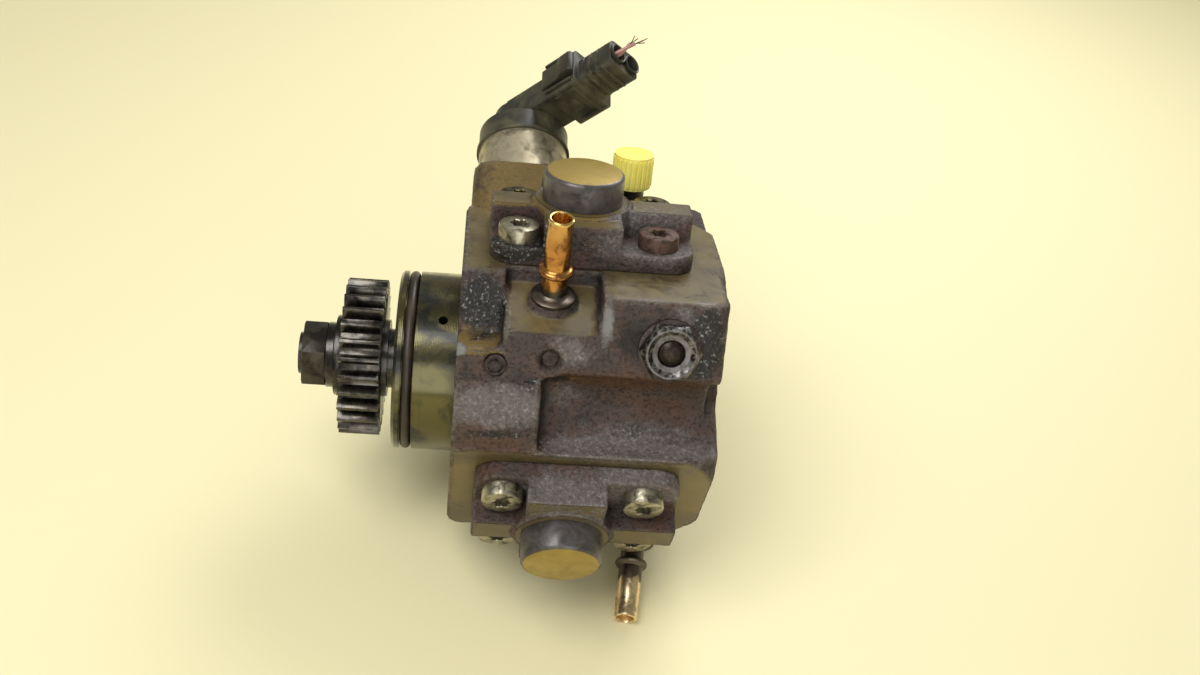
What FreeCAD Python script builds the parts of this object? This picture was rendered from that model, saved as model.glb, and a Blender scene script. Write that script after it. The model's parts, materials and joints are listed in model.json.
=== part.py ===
import FreeCAD, Part
import math
import os
from FreeCAD import Vector

# Radial-piston diesel injection pump: one eccentric shaft drives three plungers 120 degrees apart.
# X runs along the shaft from the drive gear to the rear. The first head is modelled straight up, and
# the finished pump is rolled about X so that it lies on its third head's cap and its return spigot.

# Lay of the pump
ROLL_DEG = 12.4
HEAD_ANGLES = (90.0, 210.0, 330.0)

# Housing
BODY_LEN = 84.0
BODY_R = 41.0
PAD_R = 47.4
PAD_HALF = 26.3
PAD_EDGE_ROUND = 4.0
HEAD_ROOM = 0.4
REAR_STEP = 6.0
CRANK_BORE_R = 31.0
CRANK_X0 = 14.0
CRANK_X1 = 54.0
FLANK_SCOOP_R = 13.5
FLANK_SCOOP_Y = -54.2
FLANK_SCOOP_Z = 12.5
FLANK_END = 79.0
INLET_PAD_ANGLE = 110.0
INLET_PAD_R = 47.96
INLET_PAD_X0 = 13.7
INLET_PAD_ROUND = 3.5
INLET_FACE = 49.8
INLET_BLOCK_LOW = 19.5
INLET_BOSS_R = 6.8
LEDGE_Z = 29.8
LEDGE_BACK = 34.0
FRONT_DRUM_R = 53.0
FRONT_DRUM_LEN = 26.5
FLANK_HOLE_BOSS_R = 5.6
VALVE_BLOCK_ANGLE = 168.0
VALVE_BLOCK_FACE = 50.1
VALVE_BLOCK_X0 = 43.5
VALVE_BLOCK_X1 = 82.5
VALVE_BLOCK_LOW = 22.4
VALVE_BLOCK_ROUND = 3.5
VALVE_BLOCK_CHAMFER = 2.7
REAR_BOSS_X0 = 50.0
REAR_BOSS_X1 = 83.0
REAR_BOSS_Y0 = 22.0
REAR_BOSS_Y1 = 42.0
REAR_BOSS_TOP = 45.5

# Pilot, shaft and bearings
PILOT_R = 30.0
PILOT_LEN = 20.0
PILOT_CHAMFER = 1.0
FLANGE_SPIGOT_R = 27.0
FLANGE_SPIGOT_LEN = CRANK_X0
O_RING_X = -15.5
O_RING_SECTION = 3.4
O_RING_PROUD = -0.02
GROOVE_WIDTH = 4.2
OIL_HOLE_R = 1.5
OIL_HOLE_X = -5.0
OIL_HOLE_ANGLE = 125.5
SHAFT_R = 10.0
SHAFT_THREAD_R = 7.0
NUT_X0 = -50.9
NUT_X1 = -43.3
NUT_AF = 21.0
WASHER_R = 13.5
GEAR_X0 = -37.6
GEAR_X1 = -24.45
GEAR_MODULE = 1.75
GEAR_TEETH = 28
SHAFT_COLLAR_X0 = GEAR_X1
SHAFT_COLLAR_LEN = 1.6
SHAFT_COLLAR_R = 13.0
KEY_WIDTH = 4.0
KEY_HEIGHT = 4.0
SHAFT_END = 79.0
BUSH_WALL = 2.5
FRONT_BUSH_X0 = -8.0
FRONT_BUSH_X1 = 10.0
REAR_BUSH_X0 = 60.0
REAR_BUSH_X1 = 78.0
SEAL_X0 = -19.0
SEAL_X1 = -12.0
SEAL_R = 17.0
FLANGE_SCREW_PCD = 44.0
FLANGE_SCREW_LEN = 30.0
FLANGE_SCREW_REACH = 24.0
FLANGE_SCREW_R = 2.5
FLANGE_SCREW_HEAD_R = 4.25
FLANGE_SCREW_HEAD_H = 5.0
FLANGE_SCREW_SUNK = 0.5
RELIEF_R = 30.8
RELIEF_DEPTH = 1.0

# Eccentric and ring
ECC = 3.0
ECC_R = 16.0
ECC_REST_ANGLE = HEAD_ANGLES[0] - 45.0
ECC_BUSH_WALL = 2.5
RING_R = 26.0
RING_FLAT = 24.0
RING_WIDTH = 22.0

# Heads and plungers
PLUNGER_X = 36.9
HEAD_X0 = 8.0
HEAD_X1 = 73.0
HEAD_HALF = 21.2
SEAT_H = 6.0
RIB_H = 14.2
RIB_HALF = 5.2
CENTRE_BLOCK_HALF = 12.3
HEAD_CORNER = 8.0
COLLAR_R = 15.6
COLLAR_H = 15.2
CAP_R = 13.0
CAP_H = 9.6
CAP_THREAD_R = 9.0
CAP_THREAD_LEN = 3.0
CAP_CHAMFER = 0.8
HEAD_SPIGOT_R = 13.9
HEAD_SPIGOT_LEN = 7.0
PLUNGER_R = 3.75
PLUNGER_TOP_GAP = 0.6
CHAMBER_R = 7.0
CHAMBER_FLOOR_H = 6.6
DUCT_H = 9.0
FOOT_R = 11.0
FOOT_H = 2.5
FOOT_CLEAR = 0.3
SPRING_R = 8.6
SPRING_WIRE = 2.0
SPRING_TURNS = 3.0
SCREW_CENTRE_X = 39.2
SCREW_DX = 22.2
SCREW_DY = 12.8
SCREW_HEAD_R = 6.5
SCREW_HEAD_H = 4.8
SCREW_R = 4.0
SCREW_DEPTH = 16.0
SCREW_SOCKET_R = 3.0
SCREW_SOCKET_DEPTH = 2.8
POCKET_CLEAR = 0.9
INLET_VALVE_STEM_R = 1.5
INLET_VALVE_DISC_R = 6.2
INLET_VALVE_DISC_H = 1.4
VALVE_SPRING_WIRE = 0.7
VALVE_SPRING_R = 5.2
COIL_STEPS = 12
COIL_SIDES = 6
BALL_R = 2.0
BALL_X = 55.0
BALL_CENTRE_H = 5.2
BALL_BORE_R = 2.4
BALL_PORT_R = 1.2

# Metering unit
METER_ANGLE = 30.0
METER_X = 19.0
METER_OFFSET = 13.0
METER_BOSS_HALF = 17.4
METER_BOSS_TOP = 65.0
METER_BOSS_ROUND = 7.0
METER_CAN_R = 16.0
METER_CAN_TOP = 81.5
METER_LIP_R = 16.9
METER_LIP_H = 1.2
METER_DRUM_R = 16.2
METER_DRUM_TOP = 93.0
METER_HUB_R = 11.0
METER_HUB_TOP = 101.0
METER_SLEEVE_R = 9.0
METER_SLEEVE_LEN = 22.0
METER_PISTON_R = 5.0
METER_PISTON_LEN = 22.0
SOCKET_TURN = 48.0
SOCKET_SIDE = -1.9
SOCKET_AXIS_H = 96.5
SOCKET_W = 15.0
SOCKET_T = 11.0
SOCKET_END = 31.0
SOCKET_WALL = 1.4
SOCKET_DEPTH = 14.0
PLUG_W = 20.0
PLUG_T = 15.0
PLUG_START = 22.0
PLUG_STEP = 35.5
PLUG_END = 50.0
PLUG_TAIL_W = 14.6
PLUG_TAIL_T = 11.0
PLUG_WIRE_Y = 3.6
PLUG_TONGUE_GAP = 0.3
WIRE_R = 0.6
WIRE_STUB = 13.0

# Spigots, union and plugs
SPIGOT_R = 4.0
SPIGOT_COLLAR_R = 7.0
SPOT_GAP = 0.3
SPIGOT_BORE_R = 2.9
SPIGOT_FOOT = 8.0
BEAD_R = 5.6
INLET_SPIGOT_X = 28.5
INLET_SPIGOT_ANGLE = 101.0
INLET_SPIGOT_R = 46.3
INLET_SPIGOT_TAU = 21.5
INLET_SPIGOT_LEN = 29.5
INLET_BEAD_H = 10.5
RETURN_X = 64.8
RETURN_BOSS_R = 8.0
RETURN_LEAN = 6.3
RETURN_TAU = 33.0
RETURN_LEN = 29.0
RETURN_BEAD_H = 9.0
UNION_X = 55.8
UNION_Y = 32.2
UNION_R = 5.2
UNION_COLLAR_R = 7.2
UNION_COLLAR_H = 2.4
UNION_NECK_R = 4.8
UNION_SHOULDER_R = 5.6
UNION_SHOULDER_TOP = 58.0
UNION_SHOULDER_H = 1.7
UNION_FOOT = 11.0
UNION_TOP = 66.0
UNION_BORE_R = 1.6
CAP_FIT_GAP = 0.05
CAP_LIP_H = 1.2
CAP_ROOM = 0.75
YELLOW_CAP_R = 7.0
YELLOW_CAP_H = 11.5
YELLOW_CAP_TOP = 68.0
YELLOW_CAP_RIBS = 24
OVERFLOW_X = 64.7
OVERFLOW_AF = 17.0
OVERFLOW_HEX_H = 5.6
OVERFLOW_RIM_R = 9.9
OVERFLOW_RIM_H = 1.3
OVERFLOW_THREAD_R = 7.0
OVERFLOW_BORE_R = 4.3
OVERFLOW_PISTON_R = 4.25
OVERFLOW_DEPTH = 16.0
OVERFLOW_Z = 33.0
SMALL_PLUG_R = 3.3
DEEP_PLUG_R = 2.4
DEEP_PLUG_DEPTH = 2.0
SMALL_PLUG_X = 11.9
SMALL_PLUG_Z = 24.8
DEEP_PLUG_X = 28.5
DEEP_PLUG_Z = 27.2

# Fits
RUN_GAP = 0.03
SLIDE_GAP = 0.02
SEAT_GAP = 0.05
MOUNT_HOLE_R = 3.4
MOUNT_HOLE_PCD = 70.0
MOUNT_HOLE_DEPTH = 14.0
MOUNT_HOLE_COUNT = 3

X_AXIS = Vector(1, 0, 0)
Z_AXIS = Vector(0, 0, 1)
ORIGIN = Vector(0, 0, 0)


def radial(angle):
    return Vector(0, math.cos(math.radians(angle)), math.sin(math.radians(angle)))


def rod(r, x0, x1, y=0.0, z=0.0):
    return Part.makeCylinder(r, x1 - x0, Vector(x0, y, z), X_AXIS)


def post(r, z0, z1, x=0.0, y=0.0):
    return Part.makeCylinder(r, z1 - z0, Vector(x, y, z0), Z_AXIS)


def block(x0, x1, y0, y1, z0, z1):
    return Part.makeBox(x1 - x0, y1 - y0, z1 - z0, Vector(x0, y0, z0))


def hexagon(af, z0, z1, x=0.0, y=0.0):
    r = af / math.sqrt(3)
    points = [Vector(x + r * math.cos(math.radians(60 * i)), y + r * math.sin(math.radians(60 * i)), z0)
              for i in range(7)]
    return Part.Face(Part.makePolygon(points)).extrude(Vector(0, 0, z1 - z0))


def turned(profile):
    # Solid of revolution about Z from (radius, height) points
    points = [Vector(r, 0, z) for r, z in profile]
    return Part.Face(Part.makePolygon(points + points[:1])).revolve(ORIGIN, Z_AXIS, 360)


def vertical_edges(shape, length):
    found = []
    for edge in shape.Edges:
        if len(edge.Vertexes) == 2:
            d = edge.Vertexes[1].Point - edge.Vertexes[0].Point
            if abs(d.x) < 1e-6 and abs(d.y) < 1e-6 and abs(abs(d.z) - length) < 1e-6:
                found.append(edge)
    return found


def rounded_block(x0, x1, y0, y1, z0, z1, r):
    body = block(x0, x1, y0, y1, z0, z1)
    return body.makeFillet(r, vertical_edges(body, z1 - z0))


def along_x(shape, x=0.0):
    # Turns a Z-up shape so that its axis runs along +X, then moves it to x
    shape = shape.copy()
    shape.rotate(ORIGIN, Vector(0, 1, 0), 90)
    shape.translate(Vector(x, 0, 0))
    return shape


def to_angle(shape, angle):
    # Turns a shape made for the upright direction so that up points along the angle
    shape = shape.copy()
    shape.rotate(ORIGIN, X_AXIS, angle - 90.0)
    return shape


def lean(shape, angle, x, y, z):
    # Stands a shape made at the origin on a point, its up pointing along the angle
    shape = to_angle(shape, angle)
    shape.translate(Vector(x, y, z))
    return shape


def coil(mean_r, wire, z0, z1, turns):
    # Helical wire with flat facets, closed by a face at each end
    steps = int(COIL_STEPS * turns)
    rise = z1 - z0 - wire
    rings = []
    for i in range(steps + 1):
        a = 2 * math.pi * turns * i / steps
        out = Vector(math.cos(a), math.sin(a), 0)
        centre = out * mean_r + Vector(0, 0, z0 + wire / 2 + rise * i / steps)
        turn = [2 * math.pi * (k + 0.5) / COIL_SIDES for k in range(COIL_SIDES)]
        rings.append([centre + out * (wire / 2 * math.cos(t)) + Z_AXIS * (wire / 2 * math.sin(t)) for t in turn])
    faces = [Part.Face(Part.makePolygon(ends + ends[:1])) for ends in (rings[0], rings[-1])]
    for low, high in zip(rings, rings[1:]):
        for k in range(COIL_SIDES):
            n = (k + 1) % COIL_SIDES
            for corners in ((low[k], low[n], high[n]), (low[k], high[n], high[k])):
                faces.append(Part.Face(Part.makePolygon(list(corners) + [corners[0]])))
    body = Part.Solid(Part.Shell(faces))
    return body if body.Volume > 0 else body.reversed()


def screw(shank_r, head_r, head_h, length, socket_r, socket_depth):
    # Socket-head screw, head underside at z = 0, head upwards
    body = turned([(0, -length), (shank_r, -length), (shank_r, 0), (head_r, 0), (head_r, head_h - 0.5),
                   (head_r - 0.5, head_h), (0, head_h)])
    lobes = hexagon(socket_r * math.sqrt(3), head_h - socket_depth, head_h + 1)
    return body.cut(lobes)


# Housing

def metering_boss():
    body = rounded_block(METER_X - METER_BOSS_HALF, METER_X + METER_BOSS_HALF, -METER_BOSS_HALF,
                         METER_BOSS_HALF, 0, METER_BOSS_TOP, METER_BOSS_ROUND)
    body.translate(Vector(0, -METER_OFFSET, 0))
    return to_angle(body, METER_ANGLE)


def rear_boss():
    foot = Vector(REAR_BOSS_X0, REAR_BOSS_Y0, 0)
    body = Part.makeBox(REAR_BOSS_X1 - REAR_BOSS_X0, REAR_BOSS_Y1 - REAR_BOSS_Y0, REAR_BOSS_TOP, foot)
    return body.makeFillet(3.0, vertical_edges(body, REAR_BOSS_TOP))


def flank_wedge(x0, x1, face, low):
    # Block whose outer face lies in the valve block's inclined plane
    n = radial(VALVE_BLOCK_ANGLE)
    y_top = (face - PAD_R * n.z) / n.y
    y_low = (face - low * n.z) / n.y
    points = [Vector(x0, 0, PAD_R), Vector(x0, y_top, PAD_R), Vector(x0, y_low, low), Vector(x0, 0, low - 10)]
    return Part.Face(Part.makePolygon(points + points[:1])).extrude(Vector(x1 - x0, 0, 0))


def inlet_block():
    # Shoulder between the first head and the flank, with a ledge at its front end
    body = flank_wedge(0, VALVE_BLOCK_X0 + 1, INLET_FACE, INLET_BLOCK_LOW)
    points = [Vector(-1, -PAD_HALF, PAD_R), Vector(-1, -LEDGE_BACK, LEDGE_Z), Vector(-1, -60, LEDGE_Z),
              Vector(-1, -60, 60), Vector(-1, -PAD_HALF, 60)]
    step = Part.Face(Part.makePolygon(points + points[:1])).extrude(Vector(INLET_PAD_X0 + 1, 0, 0))
    return body.cut(step)


def inlet_pad_tool():
    # Everything above the machined inlet pad, except what carries the first head
    above = block(INLET_PAD_X0, VALVE_BLOCK_X0, -60, 60, INLET_PAD_R, INLET_PAD_R + 30)
    above = above.makeFillet(INLET_PAD_ROUND, vertical_edges(above, 30))
    keep = block(HEAD_X0, HEAD_X1, -HEAD_HALF - 0.5, 60, 30, 90)
    return to_angle(above, INLET_PAD_ANGLE).cut(keep)


def inlet_boss():
    return lean(post(INLET_BOSS_R, -6, 0), INLET_SPIGOT_ANGLE, *inlet_foot())


def flank_drum():
    # Round casting wall between the flank's shoulder and the second head's pad
    drum = rod(FRONT_DRUM_R, 0, FRONT_DRUM_LEN)
    drum = drum.common(block(0, FRONT_DRUM_LEN, -60, -20, -30, INLET_BLOCK_LOW + 1))
    beyond = block(-1, FRONT_DRUM_LEN + 1, -60, 60, PAD_R, PAD_R + 20)
    return drum.cut(to_angle(beyond, HEAD_ANGLES[1]))


def flank_scoop():
    # Hollow that runs back from the drum, under the valve block and down to the pad's edge
    edge = radial(HEAD_ANGLES[1]) * PAD_R + radial(HEAD_ANGLES[1] - 90) * PAD_HALF
    x0 = FRONT_DRUM_LEN - 1
    points = [Vector(x0, 0, VALVE_BLOCK_LOW + 2), Vector(x0, -46, VALVE_BLOCK_LOW + 2),
              Vector(x0, edge.y, edge.z), Vector(x0, 0, 0)]
    fill = Part.Face(Part.makePolygon(points + points[:1])).extrude(Vector(FLANK_END - x0, 0, 0))
    tool = rod(FLANK_SCOOP_R, FRONT_DRUM_LEN, BODY_LEN + 5, FLANK_SCOOP_Y, FLANK_SCOOP_Z)
    return fill, tool


def flank_hole_boss():
    angle, x, y, z = small_plug_places()[1]
    return lean(post(FLANK_HOLE_BOSS_R, -8, VALVE_BLOCK_FACE - INLET_FACE), angle, x, y, z)


def head_room(angle):
    # Clearance over a pad for the whole foot of a head
    room = block(HEAD_X0 - 1, HEAD_X1 + 1, -HEAD_HALF - HEAD_ROOM, HEAD_HALF + HEAD_ROOM, PAD_R, PAD_R + 30)
    return to_angle(room, angle)


def valve_block():
    body = flank_wedge(VALVE_BLOCK_X0, VALVE_BLOCK_X1, VALVE_BLOCK_FACE, VALVE_BLOCK_LOW)
    outer = [e for e in body.Edges if abs(e.CenterOfMass.y) > 38]
    upright = [e for e in outer if abs(e.CenterOfMass.x - VALVE_BLOCK_X0) < 0.01]
    body = body.makeChamfer(VALVE_BLOCK_CHAMFER, upright)
    rounds = [e for e in body.Edges if e.CenterOfMass.y < -38 and e.CenterOfMass.x > VALVE_BLOCK_X1 - 0.01]
    return body.makeFillet(VALVE_BLOCK_ROUND, rounds)


def pad(angle):
    body = rounded_block(0, BODY_LEN, -PAD_HALF, PAD_HALF, 0, PAD_R, PAD_EDGE_ROUND)
    return to_angle(body, angle)


def return_boss():
    body = post(RETURN_BOSS_R, 0, PAD_R, RETURN_X, -RETURN_TAU)
    body = body.fuse(block(RETURN_X - RETURN_BOSS_R, RETURN_X + RETURN_BOSS_R, -RETURN_TAU, 0, 0, PAD_R - 6))
    return to_angle(body, HEAD_ANGLES[1])


def return_place(shape):
    # From upright at the origin to the return spigot's leaning axis on its boss
    shape = shape.copy()
    shape.rotate(ORIGIN, Vector(0, 1, 0), -RETURN_LEAN)
    shape.translate(Vector(RETURN_X, -RETURN_TAU, PAD_R))
    return to_angle(shape, HEAD_ANGLES[1])


def rear_cone():
    return rod(BODY_R, 0, BODY_LEN).common(
        Part.makeCone(BODY_R + 12, BODY_R - REAR_STEP, BODY_LEN, ORIGIN, X_AXIS))


def housing_rough():
    body = rear_cone()
    for angle in HEAD_ANGLES:
        body = body.fuse(pad(angle))
    rear_round = Part.makeCone(PAD_R + 46, PAD_R + 2, BODY_LEN, ORIGIN, X_AXIS)
    fill, scoop = flank_scoop()
    body = body.fuse(fill).common(rear_round)
    for part in (metering_boss(), rear_boss(), inlet_block(), valve_block(), return_boss()):
        body = body.fuse(part)
    body = body.cut(scoop).cut(inlet_pad_tool())
    for part in (inlet_boss(), flank_drum(), flank_hole_boss()):
        body = body.fuse(part)
    for angle in HEAD_ANGLES:
        body = body.cut(head_room(angle))
    return body


def mount_hole_angle(i):
    return HEAD_ANGLES[0] + 60.0 + 120.0 * i


def housing():
    body = housing_rough().removeSplitter()
    body = body.cut(rod(CRANK_BORE_R, CRANK_X0, CRANK_X1))
    body = body.cut(rod(FLANGE_SPIGOT_R + RUN_GAP, -1, CRANK_X0 + 1)).cut(rod(RELIEF_R, -1, RELIEF_DEPTH))
    body = body.cut(rod(SHAFT_R + BUSH_WALL, REAR_BUSH_X0, REAR_BUSH_X1))
    body = body.cut(rod(SHAFT_R + 1.0, CRANK_X1 - 1, SHAFT_END + 1))
    for angle in HEAD_ANGLES:
        tool = post(HEAD_SPIGOT_R + RUN_GAP, 15, PAD_R + 1, PLUNGER_X, 0)
        for x, y in screw_places():
            tool = tool.fuse(post(SCREW_R + SEAT_GAP, PAD_R - SCREW_DEPTH + SEAT_H, PAD_R + 1, x, y))
        body = body.cut(to_angle(tool, angle))
    body = body.cut(metering_bore())
    body = body.cut(lean(post(UNION_R - 0.6 + RUN_GAP, REAR_BOSS_TOP - UNION_FOOT - 1, REAR_BOSS_TOP + 1),
                         90, UNION_X, UNION_Y, 0))
    body = body.cut(lean(post(UNION_COLLAR_R + SPOT_GAP, REAR_BOSS_TOP, UNION_TOP), 90, UNION_X, UNION_Y, 0))
    body = body.cut(return_place(post(SPIGOT_COLLAR_R + SPOT_GAP, 0, 6)))
    body = body.cut(lean(post(OVERFLOW_RIM_R + SPOT_GAP, 0, 6), VALVE_BLOCK_ANGLE, *overflow_foot()))
    body = body.cut(lean(post(SPIGOT_R + RUN_GAP, -SPIGOT_FOOT - 2, 1), INLET_SPIGOT_ANGLE, *inlet_foot()))
    body = body.cut(return_place(post(SPIGOT_R + RUN_GAP, -SPIGOT_FOOT - 2, 1)))
    body = body.cut(lean(post(OVERFLOW_THREAD_R + RUN_GAP, -OVERFLOW_DEPTH, 1),
                         VALVE_BLOCK_ANGLE, *overflow_foot()))
    for i in range(MOUNT_HOLE_COUNT):
        c = radial(mount_hole_angle(i)) * (MOUNT_HOLE_PCD / 2)
        body = body.cut(rod(MOUNT_HOLE_R, -1, MOUNT_HOLE_DEPTH, c.y, c.z))
    for c in flange_screw_places():
        body = body.cut(rod(FLANGE_SCREW_R + SEAT_GAP, -1, FLANGE_SCREW_LEN, c.y, c.z))
    front_place, deep_place = small_plug_places()
    body = body.cut(lean(post(SMALL_PLUG_R + RUN_GAP, -5, 4), *front_place))
    deep = post(DEEP_PLUG_R + RUN_GAP, -DEEP_PLUG_DEPTH - 4, 4)
    mouth = Part.makeCone(DEEP_PLUG_R, DEEP_PLUG_R + DEEP_PLUG_DEPTH + 1, DEEP_PLUG_DEPTH + 1,
                          Vector(0, 0, -DEEP_PLUG_DEPTH + 0.5), Z_AXIS)
    return body.cut(lean(deep, *deep_place)).cut(lean(mouth, *deep_place))


def front_flange():
    # Pilot that centres the pump, with the shaft's front bearing and seal inside
    body = rod(PILOT_R, -PILOT_LEN, RELIEF_DEPTH)
    body = body.makeChamfer(PILOT_CHAMFER, [e for e in body.Edges if e.CenterOfMass.x < -PILOT_LEN + 0.01])
    body = body.fuse(rod(FLANGE_SPIGOT_R, -1, FLANGE_SPIGOT_LEN))
    groove_r = PILOT_R + O_RING_PROUD - O_RING_SECTION
    groove = rod(PILOT_R + 1, O_RING_X - GROOVE_WIDTH / 2, O_RING_X + GROOVE_WIDTH / 2)
    body = body.cut(groove.cut(rod(groove_r, O_RING_X - GROOVE_WIDTH, O_RING_X + GROOVE_WIDTH)))
    body = body.cut(rod(SHAFT_R + 0.5, -PILOT_LEN - 1, FLANGE_SPIGOT_LEN + 1))
    body = body.cut(rod(SHAFT_R + BUSH_WALL, FRONT_BUSH_X0, FLANGE_SPIGOT_LEN + 1))
    body = body.cut(rod(SEAL_R, -PILOT_LEN - 1, SEAL_X1))
    hole = Part.makeCylinder(OIL_HOLE_R, PILOT_R - SEAL_R + 6, radial(OIL_HOLE_ANGLE) * 14, radial(OIL_HOLE_ANGLE))
    hole.translate(Vector(OIL_HOLE_X, 0, 0))
    body = body.cut(hole)
    line = rod(PILOT_R + 1, -10.9, -10.6).cut(rod(PILOT_R - 0.25, -12, -9))
    body = body.cut(line)
    for c in flange_screw_places():
        body = body.cut(rod(FLANGE_SCREW_R + SEAT_GAP, -PILOT_LEN - 1, FLANGE_SPIGOT_LEN + 1, c.y, c.z))
        body = body.cut(rod(FLANGE_SCREW_HEAD_R + SEAT_GAP, -PILOT_LEN - 1, flange_screw_seat(), c.y, c.z))
    return body


def flange_screw_places():
    return [radial(30.0 + 120.0 * i) * (FLANGE_SCREW_PCD / 2) for i in range(3)]


def flange_screw_seat():
    return -PILOT_LEN + FLANGE_SCREW_HEAD_H + FLANGE_SCREW_SUNK


def flange_screws():
    bodies = []
    for c in flange_screw_places():
        one = screw(FLANGE_SCREW_R, FLANGE_SCREW_HEAD_R, FLANGE_SCREW_HEAD_H, FLANGE_SCREW_REACH, 2.3, 2.5)
        one.rotate(ORIGIN, Vector(0, 1, 0), -90)
        one.translate(Vector(flange_screw_seat(), c.y, c.z))
        bodies.append(one)
    return Part.makeCompound(bodies)


def pilot_o_ring():
    mean = PILOT_R + O_RING_PROUD - O_RING_SECTION / 2
    return Part.makeTorus(mean, O_RING_SECTION / 2 - 0.01, Vector(O_RING_X, 0, 0), X_AXIS)


def shaft_seal():
    body = rod(SEAL_R - RUN_GAP, SEAL_X0, SEAL_X1).cut(rod(SHAFT_R + 2.5, SEAL_X0 + 2, SEAL_X1 + 1))
    return body.cut(rod(SHAFT_R + RUN_GAP, SEAL_X0 - 1, SEAL_X1 + 1))


def bush(x0, x1):
    return rod(SHAFT_R + BUSH_WALL, x0, x1).cut(rod(SHAFT_R + RUN_GAP, x0 - 1, x1 + 1))


# Shaft group

def ecc_centre():
    return radial(ECC_REST_ANGLE) * ECC


def drive_shaft():
    c = ecc_centre()
    body = rod(SHAFT_THREAD_R, NUT_X0 - 1.5, GEAR_X0)
    body = body.fuse(rod(SHAFT_R, GEAR_X0, SHAFT_END))
    body = body.fuse(rod(SHAFT_COLLAR_R, SHAFT_COLLAR_X0, SHAFT_COLLAR_X0 + SHAFT_COLLAR_LEN))
    half = RING_WIDTH / 2
    body = body.fuse(rod(ECC_R, PLUNGER_X - half, PLUNGER_X + half, c.y, c.z))
    return body.cut(key_seat())


def key_seat():
    return block(GEAR_X0 + 1.5, GEAR_X1 - 1.5, -KEY_WIDTH / 2, KEY_WIDTH / 2,
                 SHAFT_R - KEY_HEIGHT / 2, SHAFT_R + 2)


def shaft_key():
    return block(GEAR_X0 + 1.5 + SEAT_GAP, GEAR_X1 - 1.5 - SEAT_GAP, -KEY_WIDTH / 2 + SLIDE_GAP,
                 KEY_WIDTH / 2 - SLIDE_GAP, SHAFT_R - KEY_HEIGHT / 2, SHAFT_R + KEY_HEIGHT / 2 - SEAT_GAP)


def tooth_profile():
    # Outline of the spur gear: involute flanks from near the root to the tip circle
    pitch_r = GEAR_MODULE * GEAR_TEETH / 2
    base_r = pitch_r * math.cos(math.radians(20))
    tip_r = pitch_r + GEAR_MODULE
    root_r = pitch_r - 1.25 * GEAR_MODULE

    def involute(r):
        a = math.acos(min(1.0, base_r / r))
        return math.tan(a) - a

    half_pitch = math.pi / (2 * GEAR_TEETH) + involute(pitch_r) - 0.004
    flank = [base_r + 0.02 + (tip_r - base_r - 0.02) * k / 3 for k in range(4)]
    outline = []
    for tooth in range(GEAR_TEETH):
        mid = 2 * math.pi * tooth / GEAR_TEETH
        outline.append((root_r, mid - half_pitch))
        outline += [(r, mid - half_pitch + involute(r)) for r in flank]
        outline += [(r, mid + half_pitch - involute(r)) for r in reversed(flank)]
        outline.append((root_r, mid + half_pitch))
    return [Vector(GEAR_X0, r * math.cos(a), r * math.sin(a)) for r, a in outline]


def drive_gear():
    points = tooth_profile()
    body = Part.Face(Part.makePolygon(points + points[:1])).extrude(Vector(GEAR_X1 - GEAR_X0, 0, 0))
    body = body.cut(rod(SHAFT_R + SLIDE_GAP, GEAR_X0 - 1, GEAR_X1 + 1))
    keyway = block(GEAR_X0 - 1, GEAR_X1 + 1, -KEY_WIDTH / 2, KEY_WIDTH / 2, 0, SHAFT_R + KEY_HEIGHT / 2)
    return body.cut(keyway)


def gear_washer():
    step = (NUT_X1 + GEAR_X0) / 2
    body = rod(WASHER_R, step, GEAR_X0).fuse(rod(WASHER_R - 2.5, NUT_X1, step))
    return body.cut(rod(SHAFT_THREAD_R + SEAT_GAP, NUT_X1 - 1, GEAR_X0 + 1))


def gear_nut():
    body = hexagon(NUT_AF, 0, NUT_X1 - NUT_X0)
    top = Part.makeCone(NUT_AF / 2 + 0.9, NUT_AF / 2 + 5.2, 3.0, ORIGIN, Z_AXIS)
    top = top.fuse(post(NUT_AF / 2 + 5.2, 3.0, NUT_X1 - NUT_X0))
    body = along_x(body.common(top), NUT_X0)
    return body.cut(rod(SHAFT_THREAD_R + SLIDE_GAP, NUT_X0 - 1, NUT_X1 + 1))


def eccentric_bush():
    c = ecc_centre()
    half = RING_WIDTH / 2 - 0.5
    body = rod(ECC_R + ECC_BUSH_WALL, PLUNGER_X - half, PLUNGER_X + half, c.y, c.z)
    return body.cut(rod(ECC_R + RUN_GAP, PLUNGER_X - half - 1, PLUNGER_X + half + 1, c.y, c.z))


def polygon_ring():
    c = ecc_centre()
    half = RING_WIDTH / 2
    body = rod(RING_R, PLUNGER_X - half, PLUNGER_X + half, c.y, c.z)
    for angle in HEAD_ANGLES:
        flat = block(PLUNGER_X - half - 1, PLUNGER_X + half + 1, -RING_R, RING_R, RING_FLAT, RING_R + 1)
        flat = to_angle(flat, angle)
        flat.translate(c)
        body = body.cut(flat)
    return body.cut(rod(ECC_R + ECC_BUSH_WALL, PLUNGER_X - half - 1, PLUNGER_X + half + 1, c.y, c.z))


# Heads: each is made upright for the first head, then turned to its own angle

def screw_places():
    return [(SCREW_CENTRE_X + sx * SCREW_DX, sy * SCREW_DY) for sx in (-1, 1) for sy in (-1, 1)]


def seat_r():
    return PAD_R + SEAT_H


def chamber_floor():
    return PAD_R + CHAMBER_FLOOR_H


def cap_low():
    return PAD_R + COLLAR_H - CAP_THREAD_LEN


def foot_low():
    return RING_FLAT + ECC + FOOT_CLEAR


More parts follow.
